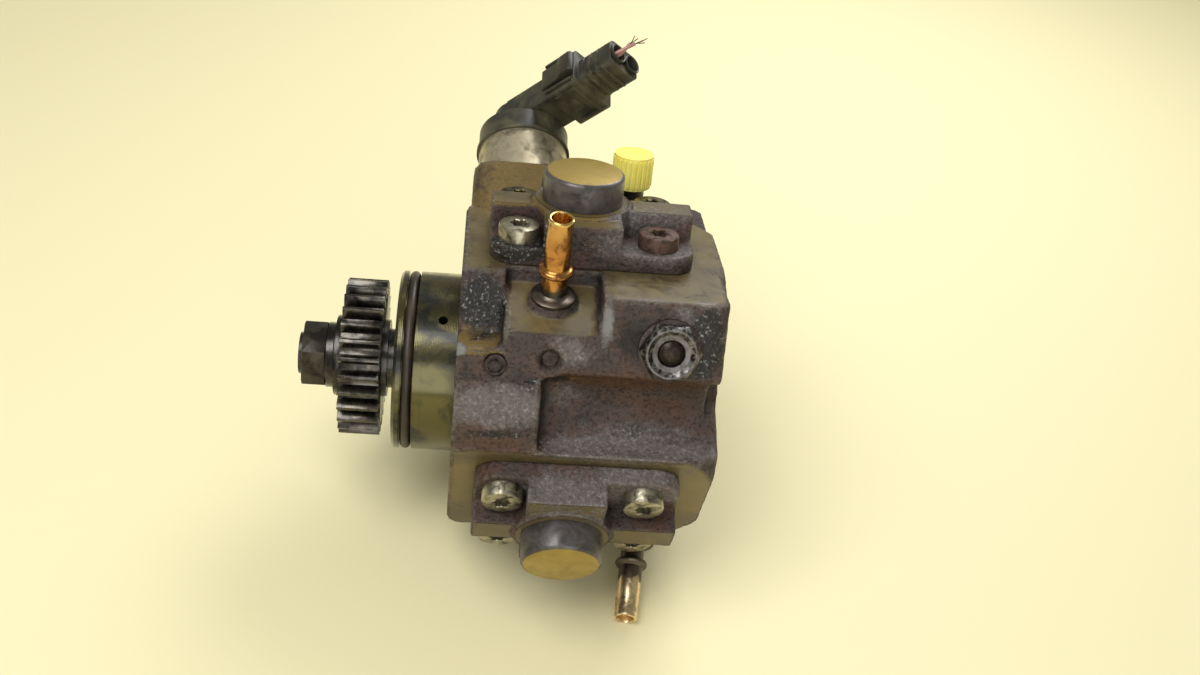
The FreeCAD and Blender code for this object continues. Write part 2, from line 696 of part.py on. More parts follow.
def cylinder_head():
    body = rounded_block(HEAD_X0, HEAD_X1, -HEAD_HALF, HEAD_HALF, PAD_R, seat_r(), HEAD_CORNER)
    top = PAD_R + RIB_H
    rib = block(HEAD_X0, HEAD_X1, -RIB_HALF, RIB_HALF, PAD_R, top)
    centre = block(PLUNGER_X - CENTRE_BLOCK_HALF, PLUNGER_X + CENTRE_BLOCK_HALF, -HEAD_HALF, HEAD_HALF,
                   PAD_R, top)
    body = body.fuse(rib).fuse(centre)
    body = body.fuse(post(COLLAR_R, PAD_R, PAD_R + COLLAR_H, PLUNGER_X, 0)).removeSplitter()
    body = body.fuse(post(HEAD_SPIGOT_R, PAD_R - HEAD_SPIGOT_LEN, PAD_R + 1, PLUNGER_X, 0))
    for x, y in screw_places():
        body = body.cut(post(SCREW_HEAD_R + POCKET_CLEAR, seat_r(), top + 1, x, y))
        body = body.cut(post(SCREW_R + SEAT_GAP, PAD_R - 1, top + 1, x, y))
    body = body.cut(post(PLUNGER_R + SLIDE_GAP, PAD_R - HEAD_SPIGOT_LEN - 1, chamber_floor() + 1, PLUNGER_X, 0))
    body = body.cut(post(CHAMBER_R, chamber_floor(), PAD_R + COLLAR_H + 1, PLUNGER_X, 0))
    body = body.cut(post(CAP_THREAD_R + RUN_GAP, cap_low() - 0.5, PAD_R + COLLAR_H + 1, PLUNGER_X, 0))
    body = body.cut(post(BALL_BORE_R, PAD_R - 1, PAD_R + BALL_CENTRE_H, BALL_X, 0))
    seat = Part.makeCone(BALL_BORE_R, BALL_PORT_R, BALL_BORE_R - BALL_PORT_R,
                         Vector(BALL_X, 0, PAD_R + BALL_CENTRE_H), Z_AXIS)
    body = body.cut(seat).cut(post(BALL_PORT_R, PAD_R, PAD_R + DUCT_H + 0.5, BALL_X, 0))
    duct = rod(BALL_PORT_R, PLUNGER_X, BALL_X, 0, PAD_R + DUCT_H)
    return body.cut(duct)


def head_cap():
    low = PAD_R + COLLAR_H
    top = low + CAP_H
    body = turned([(0, cap_low()), (CAP_THREAD_R, cap_low()), (CAP_THREAD_R, low), (CAP_R, low),
                   (CAP_R, top - CAP_CHAMFER), (CAP_R - CAP_CHAMFER, top), (0, top)])
    body = body.cut(post(INLET_VALVE_STEM_R + RUN_GAP, low - 10, low + 4.6))
    body.translate(Vector(PLUNGER_X, 0, 0))
    return body


def inlet_valve():
    # Disc on the chamber side of the cap, stem guided in the cap
    top = cap_low() - SEAT_GAP
    stem = post(INLET_VALVE_STEM_R, top - 1, PAD_R + COLLAR_H + 3.6, PLUNGER_X, 0)
    return stem.fuse(post(INLET_VALVE_DISC_R, top - INLET_VALVE_DISC_H, top, PLUNGER_X, 0))


def inlet_valve_spring():
    # Stands on the chamber's floor and holds the disc against the cap
    top = cap_low() - SEAT_GAP - INLET_VALVE_DISC_H
    body = coil(VALVE_SPRING_R, VALVE_SPRING_WIRE, chamber_floor() + SEAT_GAP, top - SEAT_GAP, 3)
    body.translate(Vector(PLUNGER_X, 0, 0))
    return body


def ball_height():
    # Centre of the ball when it sits in its 45-degree seat
    return PAD_R + BALL_CENTRE_H + BALL_BORE_R - math.sqrt(2) * (BALL_R + SEAT_GAP)


def outlet_ball():
    return Part.makeSphere(BALL_R, Vector(BALL_X, 0, ball_height()))


def outlet_ball_spring():
    top = ball_height() - BALL_R * 0.86 - SEAT_GAP
    body = coil(1.3, 0.6, PAD_R + 0.1, top, 2.5)
    body.translate(Vector(BALL_X, 0, 0))
    return body


def plunger():
    low = foot_low() + FOOT_H
    body = post(PLUNGER_R, low, chamber_floor() - PLUNGER_TOP_GAP, PLUNGER_X, 0)
    return body


def plunger_foot():
    low = foot_low()
    body = turned([(0, low), (FOOT_R - 0.6, low), (FOOT_R, low + 0.6), (FOOT_R, low + FOOT_H),
                   (0, low + FOOT_H)])
    body.translate(Vector(PLUNGER_X, 0, 0))
    return body


def plunger_spring():
    low = foot_low() + FOOT_H + SEAT_GAP
    body = coil(SPRING_R, SPRING_WIRE, low, PAD_R - HEAD_SPIGOT_LEN - SEAT_GAP, SPRING_TURNS)
    body.translate(Vector(PLUNGER_X, 0, 0))
    return body


def head_screws():
    bodies = []
    for x, y in screw_places():
        one = screw(SCREW_R, SCREW_HEAD_R, SCREW_HEAD_H, SCREW_DEPTH - 1, SCREW_SOCKET_R, SCREW_SOCKET_DEPTH)
        one.translate(Vector(x, y, seat_r()))
        bodies.append(one)
    return Part.makeCompound(bodies)


# Metering unit: made upright about its own axis, then leaned into place

def metering_place(shape):
    shape = shape.copy()
    shape.translate(Vector(METER_X, -METER_OFFSET, 0))
    return to_angle(shape, METER_ANGLE)


def metering_bore():
    tool = post(METER_SLEEVE_R + RUN_GAP, METER_BOSS_TOP - METER_SLEEVE_LEN - 2, METER_BOSS_TOP + 1)
    for x, y in metering_screw_places():
        tool = tool.fuse(post(2.0 + SEAT_GAP, METER_BOSS_TOP - 9, METER_BOSS_TOP + 1, x, y))
    return metering_place(tool)


def metering_screw_places():
    r = METER_CAN_R - 1.0
    return [(r * math.cos(math.radians(a)), r * math.sin(math.radians(a))) for a in (20.0, 160.0)]


def metering_body():
    # Steel can with the valve sleeve below it and a thin fixing flange
    base = METER_BOSS_TOP
    body = post(METER_CAN_R, base, METER_CAN_TOP).fuse(post(METER_SLEEVE_R, base - METER_SLEEVE_LEN, base + 1))
    body = body.cut(post(METER_PISTON_R + SLIDE_GAP, base - METER_SLEEVE_LEN - 1, base + 4))
    body = body.cut(post(METER_CAN_R - 1.6, base + 4, METER_CAN_TOP + 1))
    for x, y in metering_screw_places():
        body = body.cut(post(3.6, base + 1.5, base + 6, x, y).fuse(post(2.05, base - 1, base + 6, x, y)))
    return metering_place(body)


def metering_screws():
    bodies = []
    for x, y in metering_screw_places():
        one = screw(2.0, 3.4, 2.4, 9.0, 1.6, 1.5)
        one.translate(Vector(x, y, METER_BOSS_TOP + 1.5))
        bodies.append(metering_place(one))
    return Part.makeCompound(bodies)


def metering_coil():
    base = METER_BOSS_TOP + 4 + SEAT_GAP
    body = post(METER_CAN_R - 1.9, base, METER_CAN_TOP - 0.5).cut(post(METER_PISTON_R + 0.4, base - 1, METER_CAN_TOP))
    return metering_place(body)


def metering_piston():
    top = METER_BOSS_TOP + 4
    return metering_place(post(METER_PISTON_R, top - METER_PISTON_LEN, top + 8))


def metering_spring():
    top = METER_BOSS_TOP + 12 + SEAT_GAP
    return metering_place(coil(3.4, 0.9, top, METER_CAN_TOP - 0.05, 2))


def socket_frame(shape):
    # Shape made along +X from the unit's axis, at the socket's height
    shape = shape.copy()
    shape.translate(Vector(0, SOCKET_SIDE, 0))
    shape.rotate(ORIGIN, Z_AXIS, -SOCKET_TURN)
    return metering_place(shape)


def metering_cover():
    drum = turned([(0, METER_CAN_TOP), (METER_LIP_R, METER_CAN_TOP), (METER_LIP_R, METER_CAN_TOP + METER_LIP_H),
                   (METER_DRUM_R, METER_CAN_TOP + METER_LIP_H + 0.4), (METER_DRUM_R, METER_DRUM_TOP - 2.5),
                   (METER_DRUM_R - 2.5, METER_DRUM_TOP), (METER_HUB_R, METER_DRUM_TOP),
                   (METER_HUB_R, METER_HUB_TOP - 1.5), (METER_HUB_R - 1.5, METER_HUB_TOP), (0, METER_HUB_TOP)])
    drum = metering_place(drum)
    z = SOCKET_AXIS_H
    arm = block(0, SOCKET_END, -SOCKET_W / 2, SOCKET_W / 2, z - SOCKET_T / 2, z + SOCKET_T / 2)
    hollow = block(SOCKET_END - SOCKET_DEPTH, SOCKET_END + 1, -SOCKET_W / 2 + SOCKET_WALL,
                   SOCKET_W / 2 - SOCKET_WALL, z - SOCKET_T / 2 + SOCKET_WALL, z + SOCKET_T / 2 - SOCKET_WALL)
    pins = block(SOCKET_END - SOCKET_DEPTH - 1, SOCKET_END - 6, -3.2, -2.4, z - 0.4, z + 0.4)
    pins = pins.fuse(block(SOCKET_END - SOCKET_DEPTH - 1, SOCKET_END - 6, 2.4, 3.2, z - 0.4, z + 0.4))
    return drum.fuse(socket_frame(arm)).removeSplitter().cut(socket_frame(hollow)).fuse(socket_frame(pins))


def harness_plug():
    # Shell that slides over the socket, with a tongue inside it for the two contacts
    z = SOCKET_AXIS_H
    gap = PLUG_TONGUE_GAP
    shell = block(PLUG_START, PLUG_STEP, -PLUG_W / 2, PLUG_W / 2, z - PLUG_T / 2, z + PLUG_T / 2)
    shell = shell.makeFillet(2.0, [e for e in shell.Edges if abs(e.Length - (PLUG_STEP - PLUG_START)) < 1e-6])
    tail = block(PLUG_STEP - 1, PLUG_END, -PLUG_TAIL_W / 2, PLUG_TAIL_W / 2, z - PLUG_TAIL_T / 2,
                 z + PLUG_TAIL_T / 2)
    tail = tail.makeFillet(3.0, [e for e in tail.Edges if abs(e.Length - (PLUG_END - PLUG_STEP + 1)) < 1e-6])
    shell = shell.fuse(tail)
    shell = shell.cut(block(PLUG_START - 1, SOCKET_END + gap, -SOCKET_W / 2 - gap, SOCKET_W / 2 + gap,
                            z - SOCKET_T / 2 - gap, z + SOCKET_T / 2 + gap))
    inner_w = SOCKET_W / 2 - SOCKET_WALL - gap
    inner_t = SOCKET_T / 2 - SOCKET_WALL - gap
    tongue = block(SOCKET_END - SOCKET_DEPTH + gap + 1, SOCKET_END + gap + 1, -inner_w, inner_w,
                   z - inner_t, z + inner_t)
    shell = shell.fuse(tongue)
    for y in (-2.8, 2.8):
        shell = shell.cut(block(SOCKET_END - SOCKET_DEPTH, SOCKET_END - 4, y - 0.8, y + 0.8, z - 0.8, z + 0.8))
    for y in (-PLUG_WIRE_Y, PLUG_WIRE_Y):
        shell = shell.cut(rod(2.6, PLUG_END - 7, PLUG_END + 1, y, z))
    for k in range(3):
        x = PLUG_STEP + 2.0 + 3.2 * k
        band = block(x, x + 1.2, -PLUG_W, PLUG_W, z - PLUG_T, z + PLUG_T)
        band = band.cut(block(x - 1, x + 3, -PLUG_TAIL_W / 2 + 0.8, PLUG_TAIL_W / 2 - 0.8,
                              z - PLUG_TAIL_T / 2 + 0.8, z + PLUG_TAIL_T / 2 - 0.8))
        shell = shell.cut(band)
    return socket_frame(shell)


def harness_wires():
    z = SOCKET_AXIS_H
    bodies = []
    for y, bend in ((-PLUG_WIRE_Y - 0.8, 1.0), (-PLUG_WIRE_Y + 0.8, -1.0)):
        start = Vector(PLUG_END - 7 + SEAT_GAP, y, z)
        bodies.append(Part.makeCylinder(WIRE_R, WIRE_STUB + 6, start, Vector(1, 0.04 * bend, 0.03 * bend)))
    return socket_frame(Part.makeCompound(bodies))


# Spigots, union, plugs

def inlet_foot():
    n = radial(INLET_SPIGOT_ANGLE)
    t = radial(INLET_SPIGOT_ANGLE + 90)
    p = n * INLET_SPIGOT_R + t * INLET_SPIGOT_TAU
    return INLET_SPIGOT_X, p.y, p.z


def spigot(length, bead_h, foot):
    # Hose spigot standing on z = 0, with a bead and a washer-like shoulder
    body = turned([(0, -foot), (SPIGOT_R, -foot), (SPIGOT_R, 0.0), (SPIGOT_COLLAR_R, 0.0), (SPIGOT_COLLAR_R, 1.2),
                   (SPIGOT_R + 1.2, 1.6),
                   (SPIGOT_R, 2.2), (SPIGOT_R, bead_h - 2.0), (BEAD_R, bead_h - 0.8), (BEAD_R, bead_h + 0.8),
                   (SPIGOT_R, bead_h + 1.6), (SPIGOT_R, length - 1.0), (SPIGOT_R - 0.5, length), (0, length)])
    return body.cut(post(SPIGOT_BORE_R, -foot - 1, length + 1))


def inlet_spigot():
    return lean(spigot(INLET_SPIGOT_LEN, INLET_BEAD_H, SPIGOT_FOOT), INLET_SPIGOT_ANGLE, *inlet_foot())


def return_spigot():
    return return_place(spigot(RETURN_LEN, RETURN_BEAD_H, SPIGOT_FOOT))


def outlet_union():
    top = UNION_TOP
    low = REAR_BOSS_TOP
    foot = low - UNION_FOOT
    collar_top = low + UNION_COLLAR_H
    shoulder = UNION_SHOULDER_TOP
    body = turned([(0, foot), (UNION_R - 0.6, foot), (UNION_R - 0.6, low), (UNION_COLLAR_R, low),
                   (UNION_COLLAR_R, collar_top), (UNION_NECK_R, collar_top),
                   (UNION_NECK_R, shoulder - UNION_SHOULDER_H), (UNION_SHOULDER_R, shoulder - UNION_SHOULDER_H),
                   (UNION_SHOULDER_R, shoulder), (UNION_R, shoulder), (UNION_R, top - 1.5),
                   (UNION_R - 1.5, top), (0, top)])
    body = body.cut(post(UNION_BORE_R, foot - 1, top + 1))
    body.translate(Vector(UNION_X, UNION_Y, 0))
    return body


def transport_cap():
    top = YELLOW_CAP_TOP
    low = top - YELLOW_CAP_H
    body = post(YELLOW_CAP_R - 0.35, low, top)
    for k in range(YELLOW_CAP_RIBS):
        a = 2 * math.pi * k / YELLOW_CAP_RIBS
        r = YELLOW_CAP_R - 0.55
        rib = block(-0.55, 0.55, -0.45, 0.45, low + 1, top - 1)
        rib.rotate(ORIGIN, Z_AXIS, math.degrees(a))
        rib.translate(Vector(r * math.cos(a), r * math.sin(a), 0))
        body = body.fuse(rib)
    body = body.cut(post(UNION_SHOULDER_R + CAP_FIT_GAP, low - 1, low + CAP_LIP_H + 1))
    body = body.cut(post(UNION_R + CAP_ROOM, low + CAP_LIP_H, UNION_TOP + 0.4))
    body.translate(Vector(UNION_X, UNION_Y, 0))
    return body


def overflow_foot():
    n = radial(VALVE_BLOCK_ANGLE)
    t = radial(VALVE_BLOCK_ANGLE + 90)
    tau = (n * VALVE_BLOCK_FACE).z - OVERFLOW_Z
    p = n * VALVE_BLOCK_FACE + t * (tau / math.cos(math.radians(180 - VALVE_BLOCK_ANGLE)))
    return OVERFLOW_X, p.y, p.z


def overflow_body():
    # Collar, hexagon with a rounded crown, and a sunk face round the pin
    body = hexagon(OVERFLOW_AF, 0, OVERFLOW_HEX_H)
    crown = Part.makeCone(OVERFLOW_AF / 2 + 3.5, OVERFLOW_AF / 2 - 0.6, OVERFLOW_HEX_H + 0.01, ORIGIN, Z_AXIS)
    body = body.common(crown).fuse(post(OVERFLOW_RIM_R, 0, OVERFLOW_RIM_H))
    body = body.fuse(post(OVERFLOW_THREAD_R, -OVERFLOW_DEPTH + 0.5, 1))
    body = body.cut(post(OVERFLOW_BORE_R, -OVERFLOW_DEPTH + 2, OVERFLOW_HEX_H + 1))
    body = body.cut(Part.makeCone(OVERFLOW_BORE_R + 1.6, OVERFLOW_AF / 2 - 1.2, 1.2,
                                  Vector(0, 0, OVERFLOW_HEX_H - 1.15), Z_AXIS))
    return lean(body, VALVE_BLOCK_ANGLE, *overflow_foot())


def overflow_piston():
    # Domed pin seen in the middle of the hexagon
    top = OVERFLOW_HEX_H - 2.2
    body = turned([(0, top - 9), (OVERFLOW_PISTON_R, top - 9), (OVERFLOW_PISTON_R, top), (2.4, top + 1.6),
                   (0, top + 2.3)])
    return lean(body, VALVE_BLOCK_ANGLE, *overflow_foot())


def overflow_spring():
    top = OVERFLOW_HEX_H - 2.2 - 9 - SEAT_GAP
    body = coil(3.2, 0.9, -OVERFLOW_DEPTH + 2 + SEAT_GAP, top, 3)
    return lean(body, VALVE_BLOCK_ANGLE, *overflow_foot())


def on_flank(x, z):
    # Point of the shoulder's inclined face
    n = radial(VALVE_BLOCK_ANGLE)
    return VALVE_BLOCK_ANGLE, x, (INLET_FACE - z * n.z) / n.y, z


def small_plug_places():
    return [on_flank(SMALL_PLUG_X, SMALL_PLUG_Z), on_flank(DEEP_PLUG_X, DEEP_PLUG_Z)]


def blanking_plugs():
    # One flush with its ring and pin, the other sunk in a countersunk hole
    front_place, deep_place = small_plug_places()
    flush = post(SMALL_PLUG_R, -4.5, 0.2).cut(post(2.4, -0.5, 1).cut(post(1.5, -1, 2)))
    deep = post(DEEP_PLUG_R, -DEEP_PLUG_DEPTH - 3.5, -DEEP_PLUG_DEPTH)
    return Part.makeCompound([lean(flush, *front_place), lean(deep, *deep_place)])


# Assembly

def all_pieces():
    pieces = {
        "housing": housing(), "front_flange": front_flange(), "flange_screws": flange_screws(),
        "pilot_o_ring": pilot_o_ring(), "shaft_seal": shaft_seal(),
        "front_bush": bush(FRONT_BUSH_X0, FRONT_BUSH_X1), "rear_bush": bush(REAR_BUSH_X0, REAR_BUSH_X1),
        "drive_shaft": drive_shaft(), "eccentric_bush": eccentric_bush(), "polygon_ring": polygon_ring(),
        "drive_gear": drive_gear(), "gear_washer": gear_washer(), "gear_nut": gear_nut(),
        "shaft_key": shaft_key(), "metering_body": metering_body(), "metering_screws": metering_screws(),
        "metering_coil": metering_coil(), "metering_piston": metering_piston(),
        "metering_spring": metering_spring(), "metering_cover": metering_cover(),
        "harness_plug": harness_plug(), "harness_wires": harness_wires(), "inlet_spigot": inlet_spigot(),
        "return_spigot": return_spigot(), "outlet_union": outlet_union(), "transport_cap": transport_cap(),
        "overflow_body": overflow_body(), "overflow_piston": overflow_piston(),
        "overflow_spring": overflow_spring(), "blanking_plugs": blanking_plugs(),
    }
    upright = {
        "cylinder_head": cylinder_head(), "head_cap": head_cap(), "head_screws": head_screws(),
        "plunger": plunger(), "plunger_foot": plunger_foot(), "plunger_spring": plunger_spring(),
        "inlet_valve": inlet_valve(), "inlet_valve_spring": inlet_valve_spring(),
        "outlet_ball": outlet_ball(), "outlet_ball_spring": outlet_ball_spring(),
    }
    for i, angle in enumerate(HEAD_ANGLES, 1):
        for name, shape in upright.items():
            pieces["%s_%d" % (name, i)] = to_angle(shape, angle)
    return pieces


def main():
    os.makedirs("parts", exist_ok=True)
    for name, shape in all_pieces().items():
        shape = shape.copy()
        shape.rotate(ORIGIN, X_AXIS, -ROLL_DEG)
        shape.exportStep("parts/%s.step" % name)
        print(name, len(shape.Solids), shape.isValid(), round(shape.Volume, 1))


main()
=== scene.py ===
import json
import math

import bmesh
import bpy
import numpy as np
from mathutils import Matrix, Vector, noise


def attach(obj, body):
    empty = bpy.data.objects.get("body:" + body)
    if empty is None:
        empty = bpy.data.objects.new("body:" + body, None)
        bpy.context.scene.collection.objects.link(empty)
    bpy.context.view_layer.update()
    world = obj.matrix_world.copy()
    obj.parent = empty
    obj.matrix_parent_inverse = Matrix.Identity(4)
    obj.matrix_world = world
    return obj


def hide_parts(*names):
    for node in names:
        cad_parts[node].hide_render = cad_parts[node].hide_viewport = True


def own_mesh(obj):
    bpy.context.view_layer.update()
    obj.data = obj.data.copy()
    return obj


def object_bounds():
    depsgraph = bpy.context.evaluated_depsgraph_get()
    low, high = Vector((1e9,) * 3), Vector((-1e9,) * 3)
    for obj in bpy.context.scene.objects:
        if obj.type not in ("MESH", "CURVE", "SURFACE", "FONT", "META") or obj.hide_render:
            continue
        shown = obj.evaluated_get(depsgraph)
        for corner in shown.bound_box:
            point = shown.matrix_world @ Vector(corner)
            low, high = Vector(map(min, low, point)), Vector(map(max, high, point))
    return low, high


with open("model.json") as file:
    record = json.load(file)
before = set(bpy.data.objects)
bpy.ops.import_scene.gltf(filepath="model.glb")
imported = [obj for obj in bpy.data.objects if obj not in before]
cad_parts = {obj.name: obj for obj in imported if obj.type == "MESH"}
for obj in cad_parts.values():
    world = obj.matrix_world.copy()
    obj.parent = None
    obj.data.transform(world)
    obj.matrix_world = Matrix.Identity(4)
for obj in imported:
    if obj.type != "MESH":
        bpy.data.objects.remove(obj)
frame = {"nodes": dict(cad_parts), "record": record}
cad_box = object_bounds()
nodes = frame["nodes"]
MM = 0.001

# The pump's lay, as the construction has it: degrees about the shaft, millimetres otherwise
ROLL = 12.4
HEAD_ANGLES = {1: 90.0 - ROLL, 2: 210.0 - ROLL, 3: 330.0 - ROLL}
PAD_R = 47.4
SEAT_R = PAD_R + 6.0
SCREW_CENTRE_X = 39.2
SCREW_DX = 22.2
SCREW_DY = 12.8
SCREW_HEAD_R = 6.5
SCREW_HEAD_H = 4.8
HEAD_TOP_H = 14.2
COLLAR_H = 15.2
CAP_TOP = PAD_R + COLLAR_H + 9.6
INLET_PAD_ANGLE = 110.0
INLET_PAD_R = 47.96
VALVE_ANGLE = 168.0
VALVE_FOOT = (64.7, -44.3, 32.5)
VALVE_RIM_H = 5.0

# Hose spigots: drawn tube on a turned foot, with a washer-like shoulder and a bead
TUBE_R = 4.0
TUBE_BORE_R = 2.92
TUBE_FOOT = 8.0
SHOULDER_R = 7.0
INLET_ANGLE = 101.0
INLET_X = 28.5
INLET_R = 46.3
INLET_SIDE = 21.5
INLET_LEN = 29.5
INLET_BEAD_H = 10.5
RETURN_X = 64.8
RETURN_SIDE = 33.0
RETURN_LEAN = 6.3
RETURN_LEN = 29.0
RETURN_BEAD_H = 9.0

# Lifts of the inner valves, listed with their springs
SUCTION_LIFT = 0.6
DELIVERY_LIFT = 0.8
OVERFLOW_LIFT = 3.0

# Camera: where the photograph was taken from, in millimetres, its aim and its tilt
CAMERA_PLACE = (2.4, -357.9, 311.3)
CAMERA_AIM = (47.4, 0.0, 15.0)
CAMERA_ROLL = 8.3
CAMERA_LENS = 41.6
CAMERA_SENSOR = 36.0


def outward(angle):
    # The way out from the shaft at an angle about it, counted from +y towards +z
    return Vector((0, math.cos(math.radians(angle)), math.sin(math.radians(angle))))


def head_up(x, y, z):
    # A point given with the first head straight up, turned to how the pump lies
    return Vector((x, 0, 0)) + outward(-ROLL) * y + outward(90 - ROLL) * z


REACH_KEPT = 0.7


def reach_up(x, y, z):
    # How far a stain reaches along each axis once it is turned, and at least REACH_KEPT of what
    # was given for that axis
    turned = head_up(0, y, z)
    return x, max(abs(turned.y), REACH_KEPT * y), max(abs(turned.z), REACH_KEPT * z)


# Colours and nodes

def srgb(text):
    # Turns a hex colour as seen on a screen into the linear values that the shaders take
    values = [int(text[i:i + 2], 16) / 255 for i in (0, 2, 4)]
    return [v / 12.92 if v <= 0.04045 else ((v + 0.055) / 1.055) ** 2.4 for v in values] + [1.0]


def add(tree, kind, feed=None, **settings):
    # Adds one node. feed maps an input's name or number to a value, a hex colour, or what drives
    # it: another node's output, or a node, which stands for its first live output
    made = tree.nodes.new(kind)
    for key, value in settings.items():
        setattr(made, key, value)
    for key, value in (feed or {}).items():
        if isinstance(value, bpy.types.Node):
            value = next(socket for socket in value.outputs if socket.enabled)
        if isinstance(value, bpy.types.NodeSocket):
            tree.links.new(value, made.inputs[key])
        else:
            made.inputs[key].default_value = srgb(value) if isinstance(value, str) else value
    return made


def new_material(name):
    # An empty material, its node tree and the place on the piece that its patterns follow
    material = bpy.data.materials.new(name)
    material.use_nodes = True
    tree = material.node_tree
    tree.nodes.clear()
    return material, tree, add(tree, "ShaderNodeTexCoord").outputs["Object"]


def blobs(size_mm):
    # Noise scale at which the blobs are about size_mm across on the real surface
    return 1 / (size_mm * MM * 1.6)


def layered(tree, colour, layers):
    # Lays tints over a colour. Each layer is where it lies, or None for everywhere, the grain that
    # breaks it up, that grain's thin and thick value, how strong it is at each, and its tint. A
    # layer as strong at both ends doesn't heed the grain
    for where, grain, thin, thick, least, most, tint in layers:
        amount = add(tree, "ShaderNodeMapRange", {"Value": grain, "From Min": thin, "From Max": thick,
                                                  "To Min": least, "To Max": most})
        if where:
            amount = add(tree, "ShaderNodeMath", {0: amount, 1: where}, operation="MULTIPLY")
        colour = add(tree, "ShaderNodeMix", {0: amount, 6: colour, 7: tint}, data_type="RGBA")
    return colour


FRAY = 0.9


def frayed(tree, name, grain, low, high):
    # A patch that was painted on the piece's points. FRAY is how much its edge follows the grain
    laid = add(tree, "ShaderNodeAttribute", attribute_name=name).outputs["Fac"]
    broken = add(tree, "ShaderNodeMath", {0: grain, 1: FRAY, 2: laid}, operation="MULTIPLY_ADD")
    return add(tree, "ShaderNodeMapRange", {"Value": broken, "From Min": low + FRAY / 2,
                                            "From Max": high + FRAY / 2})


# Finishes

